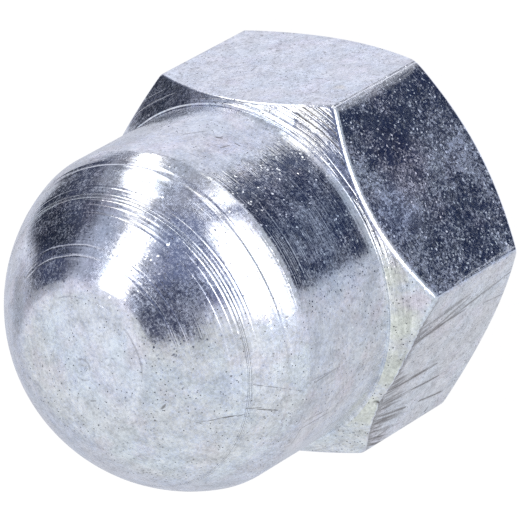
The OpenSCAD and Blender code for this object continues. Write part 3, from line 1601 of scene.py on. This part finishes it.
def plating_tint() -> Tree:
    """The faint interference colours of passivated zinc.

    Returns:
        A group from Place, Base, Straw and Cast to Color.
    """
    wires, given, made = begin_group("plating_tint", ("Place", "Base", "Straw", "Cast"), ("Color",))
    place = given["Place"]
    blue = wires.ramp(wires.noise(place, 0.9, 3.0), 0.4, 0.65, 0.0, 0.6)
    colour = wires.mix(blue, given["Base"], BLUE)
    spots = wires.noise(place, 1.3, 3.0)
    colour = wires.mix(wires.ramp(spots, 0.5, 0.7, 0.0, 0.5), colour, ROSE)
    straw = wires.times(given["Straw"], wires.ramp(spots, 0.3, 0.6, 0.5, 1.0))
    colour = wires.mix(straw, colour, STRAW)
    wires.feed(made["Color"], wires.mix(given["Cast"], colour, HAZE_BLUE))
    return wires.tree


@dataclass
class Effects:
    """The node groups that the finishes share, each built once."""

    grain: Tree = field(default_factory=plating_grain)
    turning: Tree = field(default_factory=turning_lines)
    specks: Tree = field(default_factory=pin_specks)
    hairlines: Tree = field(default_factory=hairlines)
    fibres: Tree = field(default_factory=fibre_marks)
    stroke: Tree = field(default_factory=stroke_mark)
    tint: Tree = field(default_factory=plating_tint)


@dataclass(frozen=True)
class Plate:
    """The nodes of one material, and the point of the surface that they colour.

    Attributes:
        wires: the material's nodes.
        effects: the shared node groups.
        place: the point on the surface.
        azimuth: its direction round the axis, in radians.
        along: its place along the outline.
    """

    wires: Wiring
    effects: Effects
    place: Socket
    azimuth: Socket
    along: Socket


@dataclass(frozen=True)
class Stain:
    """What a kind of mark does to the plate.

    Attributes:
        colour: its colour.
        cover: how much of the plate's colour it hides.
        roughening: how much rougher it is than the plate.
    """

    colour: Colour
    cover: float = 1.0
    roughening: float = 0.0


HAIRLINE = Stain((0.34, 0.35, 0.38), 0.3, 0.1)
FIBRE = Stain((0.28, 0.28, 0.30), 0.55)
PORE = Stain((0.10, 0.10, 0.11), 1.0, 0.3)
# Dark marks: real scratches, pits and drag lines, and also painted shade in the lip's nick, under the burred
# lip and in the chamfer's turning grooves
DARK_MARK_AND_SHADE = Stain((0.15, 0.135, 0.13), 1.0, 0.2)
# Light marks: painted highlights and glints, some over frosted wear
HIGHLIGHT_AND_WEAR_MARK = Stain((0.86, 0.88, 0.93))


@dataclass(frozen=True)
class Cloud:
    """A soft patch of plate with a haze or a colour of its own.

    Attributes:
        place: its middle.
        reach: its radius.
        haze: how much hazier it is; below 0 it is clearer.
        tint: its colour.
        strength: how strong the colour is.
    """

    place: Vector
    reach: float
    haze: float = 0.0
    tint: Colour = (1.0, 1.0, 1.0)
    strength: float = 0.0

    def mask(self, plate: Plate) -> Socket:
        """How much of the patch covers the point.

        Args:
            plate: the material and the point.

        Returns:
            1 in the middle of the patch, 0 outside it.
        """
        wires = plate.wires
        distance = wires.vector("DISTANCE", plate.place, tuple(self.place))
        ragged = wires.swing(plate.place, 1.6 / self.reach, 4.0, 0.65)
        distance = wires.plus(distance, ragged, 1.5 * self.reach)
        return wires.ramp(distance, self.reach, self.reach * 0.2)


@dataclass(frozen=True)
class Scratch:
    """A scratch, a score or a pit, as a straight stroke on the surface.

    Attributes:
        start: where the stroke starts.
        end: where it ends.
        width: its half width.
        shade: how dark it is, from 0 to 1; below 0 it is a light mark, a painted highlight.
        depth: how deep it is cut; below 0 it stands proud.
    """

    start: Vector
    end: Vector
    width: float
    shade: float
    depth: float = 0.003

    def mask(self, plate: Plate) -> Socket:
        """1 on the stroke, 0 off it."""
        ends = {"Start": tuple(self.start), "End": tuple(self.end)}
        return plate.wires.group(plate.effects.stroke, Place=plate.place, **ends, Width=self.width)["Mask"]


@dataclass(frozen=True)
class RingMark:
    """A fine line along a turned zone, over part of its round.

    Attributes:
        along: its place along the outline.
        first: direction in which it starts, in degrees.
        last: direction in which it ends.
        width: its half width.
        shade: how dark it is; below 0 it is a light mark, a painted highlight.
        depth: how deep it is cut; below 0 it stands proud.
    """

    along: float
    first: float
    last: float
    width: float
    shade: float
    depth: float = 0.003

    def mask(self, plate: Plate) -> Socket:
        """How much of the line covers the point.

        Args:
            plate: the material and the point.

        Returns:
            1 on the line, 0 off it.
        """
        wires = plate.wires
        along = wires.plus(plate.along, wires.swing(plate.place, 0.8), 0.12)
        line = wires.ramp(wires.apart(along, self.along), self.width, self.width * 0.2)
        middle, half = math.radians(self.first + self.last) / 2, math.radians(self.last - self.first) / 2
        turn = wires.math("WRAP", wires.minus(plate.azimuth, middle), math.pi, -math.pi)
        return wires.times(line, wires.ramp(wires.math("ABSOLUTE", turn), half, half * 0.6))


@dataclass(frozen=True)
class DragStreaks:
    """The fan of fine streaks that was dragged down a flat from its burred lip, with a painted shade band
    right below the lip.

    Attributes:
        spread: how fast the fan widens below the lip.
        fineness: streaks per millimetre.
        short: length of the streaks below the sound stretch.
        long: extra length below the worst stretches.
        band: height of the painted shade band right below the lip.
        shade: how dark the streaks are.
        depth: how deep they are cut.
    """

    spread: float = 0.15
    fineness: float = 9.0
    short: float = 0.25
    long: float = 2.0
    band: float = 0.28
    shade: float = 0.9
    depth: float = 0.002

    def mask(self, plate: Plate) -> Socket:
        """How much of a streak covers the point.

        Args:
            plate: the material and the point.

        Returns:
            1 on a streak, 0 off it.
        """
        wires = plate.wires
        turn = math.radians(FACING[Zone.DRAGGED_FLAT])
        below = wires.source("ShaderNodeAttribute", "Fac", attribute_name="below_lip")
        along = wires.vector("DOT_PRODUCT", plate.place, (-math.sin(turn), math.cos(turn), 0))
        fan = wires.math("DIVIDE", along, wires.plus(1.0, below, self.spread))
        second = wires.times(wires.ramp(wires.apart(fan, 1.5), 0.5, 0.15), 0.6)
        worst = wires.math("ADD", wires.ramp(fan, 0.4, -0.4), second)
        drawn = partial(self.drawn_noise, wires, fan, below)
        reach = wires.times(wires.ramp(drawn(3.0, 0.0, 1.0), 0.32, 0.66, 0.25, 1.0), worst)
        reach = wires.plus(self.short, reach, self.long)
        fade = wires.ramp(below, reach, wires.times(reach, 0.3))
        coarse = wires.ramp(drawn(self.fineness, 0.35, 3.0), 0.40, 0.58)
        fine = wires.ramp(drawn(2.6 * self.fineness, 0.9, 2.0), 0.38, 0.58, 0.5, 1.0)
        streaks = wires.times(coarse, fine, fade)
        # Painted shade: a dark band right below the lip, where the lip shades the flat
        band = wires.times(wires.ramp(below, self.band, 0.0), fine)
        return wires.times(wires.highest(streaks, band), wires.ramp(below, -0.1, 0.0))

    @staticmethod
    def drawn_noise(wires: Wiring, fan: Input, below: Input, across: float, down: float,
                    detail: float) -> Socket:
        """Noise that is drawn out down the flat, with its fineness across and down."""
        return wires.noise(wires.join(wires.times(fan, across), wires.times(below, down)), 1.0, detail, 0.6)


Mark = Union[Scratch, RingMark, DragStreaks]


@dataclass(frozen=True)
class ZincFinish:
    """Bright zinc plate as one zone of the nut carries it.

    Attributes:
        name: name of the material.
        sweep: direction in which the zone was turned.
        colour: colour of the plate.
        roughness: its roughness between scratches.
        grain_size: width of one crystal.
        grain_tilt: how far the crystals lean.
        contrast: how much the plate's brightness varies.
        scatter: how much rougher the haziest crystals are.
        haze: how much light the haziest crystals scatter.
        line_spacing: distance between turning lines.
        line_depth: height of the turning lines as a share of their spacing.
        rough_side: direction in which the turning lines are deepest, in degrees, if they vary.
        speck_share: how many pores there are.
        speck_radius: radius of a pore.
        hair_heading: direction of the handling scratches, in degrees from round the part.
        hair_length: length of the handling scratches.
        hair_share: how many handling scratches there are.
        hair_height: height of the handling scratches; below 0 they are cut in.
        fibres: how many curled marks there are.
        straw: how yellow the plating is.
        cast: how blue the haze is.
        marks: the marks that have a place of their own.
        clouds: the patches that have a place of their own.
    """

    name: str
    sweep: Sweep = Sweep.HEIGHT
    colour: Colour = (0.80, 0.81, 0.825)
    roughness: float = 0.12
    grain_size: float = 0.045
    grain_tilt: float = 0.014
    contrast: float = 1.3
    scatter: float = 0.16
    haze: float = 0.3
    line_spacing: float = 0.05
    line_depth: float = 0.04
    rough_side: Optional[float] = None
    speck_share: float = 0.55
    speck_radius: float = 0.025
    hair_heading: float = 0.0
    hair_length: float = 1.2
    hair_share: float = 0.25
    hair_height: float = -0.0006
    fibres: float = 0.6
    straw: float = 0.1
    cast: float = 0.45
    marks: tuple[Mark, ...] = ()
    clouds: tuple[Cloud, ...] = ()

    def material(self, effects: Effects) -> bpy.types.Material:
        """Builds the zone's material.

        Args:
            effects: the shared node groups.

        Returns:
            The material.
        """
        made = bpy.data.materials.new(self.name)
        wires = Wiring.of(made)
        place = wires.vector("SCALE", wires.source("ShaderNodeTexCoord", "Object"), scale=1 / MM)
        plate = Plate(wires, effects, place, *self.coordinates(wires, place))
        grain = wires.group(effects.grain, Place=place, Size=self.grain_size, Tilt=self.grain_tilt,
                            Contrast=self.contrast)
        lines = wires.group(effects.turning, Along=plate.along, Place=place, Spacing=self.line_spacing,
                            Cover=self.line_cover(plate))
        pores = wires.group(effects.specks, Place=place, Radius=self.speck_radius,
                            Share=self.speck_share)["Mask"]
        hair = wires.group(effects.hairlines, Around=wires.times(plate.azimuth, AROUND_RADIUS),
                           Along=plate.along, Heading=math.radians(self.hair_heading),
                           Length=self.hair_length, Share=self.hair_share)["Mask"]
        fibres = wires.group(effects.fibres, Place=place, Share=self.fibres)["Mask"]
        haze, colour = self.clouded(plate, grain["Scatter"])
        dark, light, cut = self.marked(plate)
        # The grain's Shade is the plate's random tone; the lines' Shade is painted shade in the turning
        # grooves and painted light on their ridges
        colour = wires.vector("SCALE", colour, scale=wires.times(grain["Shade"], lines["Shade"]))
        smoothest, roughest = self.roughness * 0.85, self.roughness * 1.15
        rough = wires.ramp(wires.noise(place, 2.0, 3.0), 0.3, 0.7, smoothest, roughest)
        rough = wires.plus(rough, haze, self.scatter)
        stained = ((hair, HAIRLINE), (fibres, FIBRE), (pores, PORE), (dark, DARK_MARK_AND_SHADE), (light, HIGHLIGHT_AND_WEAR_MARK))
        for mask, stain in stained:
            cover = wires.times(mask, stain.cover) if stain.cover < 1 else mask
            colour = wires.mix(cover, colour, stain.colour)
            if stain.roughening > 0:
                rough = wires.plus(rough, mask, stain.roughening)
        # Light marks lower the metal, so their painted highlight shows as a near-white colour
        cover = wires.plus(wires.times(haze, self.haze), light, 0.6)
        height = wires.minus(wires.plus(lines["Height"], hair, self.hair_height), cut)
        relief = wires.node("ShaderNodeBump", {
            "Strength": 1.0,
            "Distance": MM,
            "Height": height,
            "Normal": grain["Normal"],
        })
        wires.finish(wires.node("ShaderNodeBsdfPrincipled", {
            "Base Color": colour,
            "Metallic": wires.minus(1.0, cover, clamp=True),
            "Roughness": rough,
            "Normal": relief.outputs[0],
        }))
        return made

    def coordinates(self, wires: Wiring, place: Socket) -> tuple[Socket, Socket]:
        """Where a point lies round the part and along its outline.

        Args:
            wires: the material's nodes.
            place: the point on the surface.

        Returns:
            The direction round the axis in radians, and the place along the outline in millimetres.
        """
        x, y, z = wires.split(place)
        reach = wires.math("SQRT", wires.math("ADD", wires.times(x, x), wires.times(y, y)))
        azimuth = wires.math("ARCTAN2", y, x)
        if self.sweep is Sweep.RADIUS:
            return azimuth, reach
        if self.sweep is Sweep.HEIGHT:
            return azimuth, z
        rise = wires.math("ARCTAN2", wires.minus(z, Dome.centre), reach)
        return azimuth, wires.times(rise, Dome.radius)

    def line_cover(self, plate: Plate) -> Input:
        """How deep the turning lines are round the part.

        Args:
            plate: the material and the point.

        Returns:
            Their depth, as a share of their spacing.
        """
        if self.rough_side is None:
            return self.line_depth
        towards = plate.wires.math("COSINE", plate.wires.minus(plate.azimuth, math.radians(self.rough_side)))
        return plate.wires.ramp(towards, 0.3, 0.85, 0.3 * self.line_depth, self.line_depth)

    def clouded(self, plate: Plate, haze: Input) -> tuple[Input, Input]:
        """Adds the zone's own patches to its haze and its colour.

        Args:
            plate: the material and the point.
            haze: the haze of the crystals.

        Returns:
            The haze and the colour.
        """
        wires = plate.wires
        covers = [(cloud, cloud.mask(plate)) for cloud in self.clouds]
        for cloud, cover in covers:
            haze = wires.plus(haze, cover, cloud.haze, clamp=True)
        colour = wires.group(plate.effects.tint, Place=plate.place, Base=self.colour, Straw=self.straw,
                             Cast=wires.times(haze, self.cast))["Color"]
        for cloud, cover in covers:
            if cloud.strength > 0:
                colour = wires.mix(wires.times(cover, cloud.strength), colour, cloud.tint)
        return haze, colour

    def marked(self, plate: Plate) -> tuple[Input, Input, Input]:
        """Lays the zone's own marks over each other.

        Args:
            plate: the material and the point.

        Returns:
            How dark the marks are, how light they are, and how deep they are cut.
        """
        wires = plate.wires
        dark: Input = 0.0
        light: Input = 0.0
        cut: Input = 0.0
        for mark in self.marks:
            mask = mark.mask(plate)
            tone = wires.times(mask, abs(mark.shade))
            if mark.shade < 0:
                light = wires.highest(tone, light)
            else:
                dark = wires.highest(tone, dark)
            cut = wires.plus(cut, mask, mark.depth)
        return dark, light, cut


# ---- Marks


# Start and end of a stroke in the two measures of its surface, its half width and its shade
Stroke = tuple[float, float, float, float, float, float]
# Place of a cloud in the two measures of its surface, its reach, its haze, its tint and its strength
Patch = tuple[Union[float, Colour], ...]

# Colours of single patches
LILAC: Colour = (0.84, 0.76, 0.86)
SKY_BLUE: Colour = (0.60, 0.70, 0.96)
PALE_BLUE: Colour = (0.62, 0.75, 0.97)
PALE_ROSE: Colour = (0.86, 0.79, 0.86)
PALE_STRAW: Colour = (0.81, 0.83, 0.73)
BROWN: Colour = (0.80, 0.74, 0.63)


@dataclass(frozen=True)
class Surface:
    """Finds points on the nut's own surfaces, for marks that have a place of their own.

    Attributes:
        apothem: half the width across flats.
        collar: the round collar.
        dome: the dome.
        chamfer_apex: height at which the chamfer, drawn on, would meet the axis.
    """

    apothem: float
    collar: Collar
    dome: Dome
    chamfer_apex: float = 9.9

    def on_flat(self, zone: Zone, along: float, height: float) -> Vector:
        """A point on a flat.

        Args:
            zone: the flat.
            along: distance from the flat's middle, against the clock seen from above.
            height: height above the bearing face.

        Returns:
            The point.
        """
        turn = math.radians(FACING[zone])
        out = Vector((math.cos(turn), math.sin(turn), 0)) * self.apothem
        return out + Vector((-math.sin(turn), math.cos(turn), 0)) * along + Vector((0, 0, height))

    def on_chamfer(self, azimuth: float, radius: float) -> Vector:
        """A point on the chamfer above the flats, which slopes by 45 degrees."""
        return polar(radius, math.radians(azimuth), self.chamfer_apex - radius)

    def on_collar(self, azimuth: float, height: float) -> Vector:
        """A point on the collar's wall."""
        return polar(self.collar.radius, math.radians(azimuth), height)

    def on_dome(self, azimuth: float, inclination: float) -> Vector:
        """A point on the dome."""
        spot = self.dome.station(inclination, 0.0)
        return polar(spot.radius, math.radians(azimuth), spot.height)

    @staticmethod
    def strokes(find: Callable[[float, float], Vector], rows: Sequence[Stroke]) -> tuple[Scratch, ...]:
        """Strokes on one surface, where find gives the point of two measures on it."""
        return tuple(Scratch(find(*row[:2]), find(*row[2:4]), *row[4:]) for row in rows)

    def dragged_marks(self) -> tuple[Scratch, ...]:
        """Long drag lines below the burred lip."""
        return self.strokes(partial(self.on_flat, Zone.DRAGGED_FLAT), (
            (1.4, 3.4, 2.0, 0.35, 0.09, 0.75),
            (1.2, 4.5, 1.55, 3.3, 0.13, 0.8),
            (1.55, 3.3, 2.0, 2.2, 0.09, 0.7),
            (1.35, 4.5, 1.45, 3.0, 0.15, 0.85),
            (1.45, 3.1, 1.5, 2.1, 0.08, 0.8),
            (1.8, 4.35, 2.1, 2.3, 0.17, 0.6),
            (-0.35, 4.5, -0.45, 2.25, 0.11, 0.9),
            (-1.0, 3.15, -1.15, 1.75, 0.08, 0.85),
            (-1.35, 4.45, -1.75, 2.9, 0.1, 0.8),
            (-1.85, 2.3, -2.1, 1.0, 0.07, 0.85),
            (-2.45, 4.05, -2.25, 3.35, 0.08, 0.7),
            (-2.65, 1.55, -2.45, 1.45, 0.05, 0.8),
            (-0.55, 4.7, -0.7, 4.6, 0.09, 0.9),
            (1.25, 1.2, 1.1, 0.15, 0.06, 0.5),
        ))

    def clean_marks(self) -> tuple[Scratch, ...]:
        """Small pits and spots of the clean flat, and the rub along the worn corner: frosted wear with a
        painted highlight of its rounded edge.
        """
        return self.strokes(partial(self.on_flat, Zone.CLEAN_FLAT), (
            (2.05, 0.75, 2.15, 0.7, 0.06, 0.6),
            (0.95, 1.5, 1.05, 1.55, 0.05, 0.6),
            (0.8, 2.7, 0.7, 3.1, 0.04, 0.5),
            (-0.2, 1.05, -0.3, 1.15, 0.05, 0.5),
            (-1.35, 2.75, -1.2, 2.8, 0.045, 0.5),
            (1.2, 1.5, 1.3, 1.5, 0.05, 0.5),
            (0.95, 3.2, 0.9, 3.3, 0.045, 0.55),
            (-2.15, 3.95, -2.1, 4.05, 0.05, 0.5),
            # Painted highlight along the worn corner, over its frosted wear
            (-2.84, 0.0, -2.84, 4.7, 0.13, -0.8),
        ))

    def front_marks(self) -> tuple[Scratch, ...]:
        """The burr along the front flat's sharp corner and the rub along the worn one, as light strokes:
        painted glints on the burr, and a painted highlight over the worn corner's frosted wear.
        """
        return self.strokes(partial(self.on_flat, Zone.FRONT_FLAT), (
            # Burr: painted glints along the burr
            (-2.7, 0.65, -2.6, 0.85, 0.05, -0.6),
            (-2.6, 0.8, -2.7, 0.95, 0.05, -0.5),
            (-2.7, 0.4, -2.7, 1.3, 0.04, -0.45),
            (-2.65, 1.2, -2.7, 2.0, 0.04, -0.5),
            (-2.7, 1.9, -2.7, 2.6, 0.045, -0.4),
            (-2.7, 2.5, -2.75, 3.4, 0.035, -0.35),
            (-2.8, 0.1, -2.75, 2.8, 0.03, -0.25),
            # Worn corner: painted highlight over its frosted wear
            (2.84, 0.0, 2.84, 4.7, 0.24, -1.0),
            (2.7, 0.8, 2.75, 4.5, 0.26, -0.5),
        ))

    def collar_marks(self) -> tuple[Scratch, ...]:
        """The collar's longer scratches and pits."""
        return self.strokes(self.on_collar, (
            (-158, 8.45, -149.5, 8.35, 0.042, 0.6),
            (-149.5, 8.35, -150, 7.1, 0.035, 0.5),
            (-132, 8.3, -131.5, 7.4, 0.028, 0.5),
            (-152, 8.55, -152.5, 8.45, 0.042, 0.6),
            (-40.5, 6.8, -43, 6.7, 0.056, 0.8),
            (-47, 6.65, -49.5, 6.65, 0.042, 0.7),
            (-46, 7.15, -47, 6.85, 0.042, 0.7),
            (-31.5, 7.15, -36, 6.65, 0.028, 0.4),
            (-130.5, 8.45, -131.5, 7.25, 0.028, 0.4),
            (-146.5, 8.3, -148, 7.2, 0.028, 0.4),
        ))

    def dome_marks(self) -> tuple[Scratch, ...]:
        """The dome's longer scratches."""
        return self.strokes(self.on_dome, (
            (-126.5, 34, -129.5, 25.5, 0.028, 0.6),
            (-129.5, 25.5, -133, 16.5, 0.028, 0.6),
            (-153, 64, -152, 61, 0.056, 0.8),
            (-142, 61, -138, 60, 0.056, 0.7),
            (-114.5, 63, -113.5, 62.5, 0.056, 0.8),
            (-116.5, 27, -117, 26.5, 0.056, 0.7),
            (-106.5, 20.5, -106.5, 19.5, 0.042, 0.6),
            (-145.5, 50, -143.5, 47, 0.021, 0.5),
            (-143.5, 46.5, -141, 42.5, 0.028, 0.65),
            (-141, 42.5, -139.5, 38, 0.035, 0.8),
            (-140, 38, -139, 35.5, 0.028, 0.6),
            (-136.5, 35.5, -136.5, 30.5, 0.028, 0.6),
            (-137, 32, -138.5, 24.5, 0.035, 0.8),
            (-122, 41, -121.5, 40.5, 0.056, 0.8),
        ))

    def chamfer_marks(self) -> tuple[Scratch, ...]:
        """Painted shade in the nick in the burred lip, as it shows on the chamfer."""
        nick = math.radians(-157)
        return (Scratch(polar(4.94, nick, 4.95), polar(5.02, nick, 4.8), 0.11, 1.2),)

    @staticmethod
    def patches(find: Callable[[float, float], Vector], rows: Sequence[Patch]) -> tuple[Cloud, ...]:
        """Clouds on one surface, where find gives the point of two measures on it."""
        return tuple(Cloud(find(first, second), *values) for first, second, *values in rows)

    def clean_clouds(self) -> tuple[Cloud, ...]:
        """The stain on the clean flat."""
        return (Cloud(self.on_flat(Zone.CLEAN_FLAT, -2.2, 3.1), 0.26, 0.0, BROWN, 0.6),)

    def front_clouds(self) -> tuple[Cloud, ...]:
        """The hazier and clearer patches of the front flat."""
        return self.patches(partial(self.on_flat, Zone.FRONT_FLAT), (
            (0.0, 2.5, 5.0, -0.08),
            (1.7, 3.4, 2.1, -0.26),
            (1.9, 1.3, 1.9, -0.24),
            (-2.2, 2.6, 1.5, -0.1),
            (-0.3, 3.6, 1.3, 0.13),
            (0.5, 1.6, 1.1, 0.1),
            (0.6, 2.9, 1.3, 0.0, LILAC, 0.5),
            (-0.4, 4.1, 1.1, 0.0, SKY_BLUE, 0.5),
        ))

    def chamfer_clouds(self) -> tuple[Cloud, ...]:
        """The rosy and straw-coloured patches of the chamfer."""
        return self.patches(self.on_chamfer, (
            (-120, 5.3, 0.6, 0.2, PALE_ROSE, 0.7),
            (-110, 5.1, 0.45, 0.1, PALE_ROSE, 0.5),
            (-133, 5.0, 0.35, 0.1, PALE_ROSE, 0.3),
            (-111, 4.9, 0.6, 0.0, PALE_STRAW, 0.7),
            (-126, 4.95, 0.75, 0.0, PALE_STRAW, 0.8),
            (-142, 5.0, 1.0, 0.0, PALE_STRAW, 0.75),
            (-160, 5.0, 1.0, 0.0, PALE_STRAW, 0.7),
        ))

    def collar_clouds(self) -> tuple[Cloud, ...]:
        """The hazier and clearer patches of the collar's shaded side."""
        return self.patches(self.on_collar, (
            (-94, 5.6, 1.0, -0.35),
            (-76, 8.0, 1.3, -0.3),
            (-96, 8.1, 0.9, -0.25),
            (-88, 6.8, 2.2, 0.02, PALE_BLUE, 0.45),
        ))


# Tool marks on the end face
END_RINGS = (
    RingMark(1.86, -125, -73, 0.035, 0.3, 0.004),
    RingMark(1.85, -62, -42, 0.03, 0.0, -0.004),
    RingMark(1.86, -40, -4, 0.03, 0.15, 0.004),
    RingMark(1.95, 116, 139, 0.03, 0.0, -0.004),
    RingMark(0.94, 155, 171, 0.03, 0.5, 0.003),
    RingMark(0.22, -150, 30, 0.05, 0.35, 0.004),
    RingMark(0.36, 100, 190, 0.03, 0.25, 0.003),
)
# Turning lines on the chamfer, cut in as bumps, with painted highlights along two of them near one corner and
# painted shade in the grooves on the darker side
CHAMFER_TURNING_LIGHT_AND_SHADE = (
    RingMark(5.1, -9, 14, 0.02, -0.6),
    RingMark(5.28, -5, 13, 0.016, -0.4),
    # Painted shade in the turning grooves
    RingMark(5.15, -92, -48, 0.022, 0.75),
    RingMark(5.23, -86, -44, 0.018, 0.6),
    RingMark(5.31, -80, -42, 0.022, 0.75),
    RingMark(5.4, -74, -50, 0.018, 0.6),
    RingMark(5.48, -70, -54, 0.02, 0.7),
)
# Painted highlights along the edges of the two topmost grooves, also cut in as fine lines
DOME_GROOVE_HIGHLIGHTS = (
    RingMark(4.36, -42, 6, 0.02, -0.6),
    RingMark(4.64, -46, 12, 0.022, -0.8),
)


def finishes(surface: Surface) -> dict[Zone, ZincFinish]:
    """The finish of each zone.

    Args:
        surface: the nut's surfaces, on which the marks are placed.

    Returns:
        A finish for each zone.
    """
    flat = ZincFinish("zinc_flat", line_depth=0.0, hair_heading=90, grain_tilt=0.045, scatter=0.12, haze=0.4,
                      hair_length=0.5, fibres=1.1, contrast=1.2)
    # Painted shade in the lip's nick, laid on the dragged flat, the chamfer and the brow
    nick = surface.chamfer_marks()
    return {
        Zone.BEARING: ZincFinish("zinc_bearing_face", Sweep.RADIUS, line_depth=0.12, line_spacing=0.09),
        Zone.FLAT: flat,
        Zone.CLEAN_FLAT: replace(flat, name="zinc_clean_flat", marks=surface.clean_marks(),
                                 clouds=surface.clean_clouds()),
        Zone.FRONT_FLAT: replace(flat, name="zinc_front_flat", marks=surface.front_marks(),
                                 clouds=surface.front_clouds(), colour=(0.79, 0.83, 0.87), cast=1.0,
                                 haze=0.39, grain_tilt=0.036, contrast=1.05),
        Zone.DRAGGED_FLAT: replace(flat, name="zinc_dragged_flat",
                                   marks=(*surface.dragged_marks(), *nick, DragStreaks())),
        Zone.CHAMFER: ZincFinish("zinc_chamfer", Sweep.RADIUS, colour=(0.83, 0.83, 0.815), line_depth=1.0,
                                 rough_side=-78, line_spacing=0.07, straw=0.25, speck_share=1.0,
                                 speck_radius=0.028, hair_share=0.1, grain_tilt=0.03, haze=0.18,
                                 marks=(*nick, *CHAMFER_TURNING_LIGHT_AND_SHADE), clouds=surface.chamfer_clouds()),
        Zone.BROW: ZincFinish("zinc_brow", Sweep.RADIUS, line_depth=0.12, grain_tilt=0.02, haze=0.2,
                              hair_share=0.1, marks=nick),
        Zone.COLLAR: ZincFinish("zinc_collar", line_depth=0.055, grain_tilt=0.026, haze=0.16, cast=0.5,
                                marks=surface.collar_marks(), clouds=surface.collar_clouds()),
        Zone.DOME: ZincFinish("zinc_dome", Sweep.INCLINATION, hair_heading=20, haze=0.44, scatter=0.18,
                              cast=0.55, marks=(*surface.dome_marks(), *DOME_GROOVE_HIGHLIGHTS),
                              clouds=(Cloud(surface.on_dome(-15, 38), 3.6, -0.17),)),
        Zone.END_FACE: ZincFinish("zinc_end_face", Sweep.RADIUS, line_depth=0.03, line_spacing=0.07,
                                  marks=END_RINGS),
        Zone.THREAD: ZincFinish("zinc_thread", line_depth=0.05, hair_share=0.0),
    }


def lip_nick(hexagon: Hexagon) -> Dent:
    """The nick that a knock left in the burred lip.

    Args:
        hexagon: the wrench hexagon.

    Returns:
        The nick.
    """
    angle = math.radians(hexagon.burr.facing) + math.atan2(-0.6, hexagon.apothem)
    place = polar(hexagon.side_radius(angle % math.tau), angle, 4.9)
    return Dent(place, radius=0.16, depth=0.08, push=-polar(1, angle, 0.8))


def main() -> None:
    logging.basicConfig(level=logging.INFO, format="%(name)s: %(message)s")
    low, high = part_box(NODE)
    size = (high - low) / MM
    hexagon = Hexagon(across_flats=size.y)
    collar = Collar(foot=hexagon.height)
    dome = Dome(height=size.z, start=collar.shoulder_angle)
    body = CapNut(hexagon, collar, dome, ThreadedHole(), (lip_nick(hexagon),)).build()
    effects = Effects()
    coats = finishes(Surface(hexagon.apothem, collar, dome))
    for zone in Zone:
        body.data.materials.append(coats[zone].material(effects))
    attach(body, "root")
    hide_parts(NODE)
    LOG.info("%s stands for %s with %d finishes", body.name, NODE, len(coats))
    Studio().build()


if __name__ == "__main__":
    main()
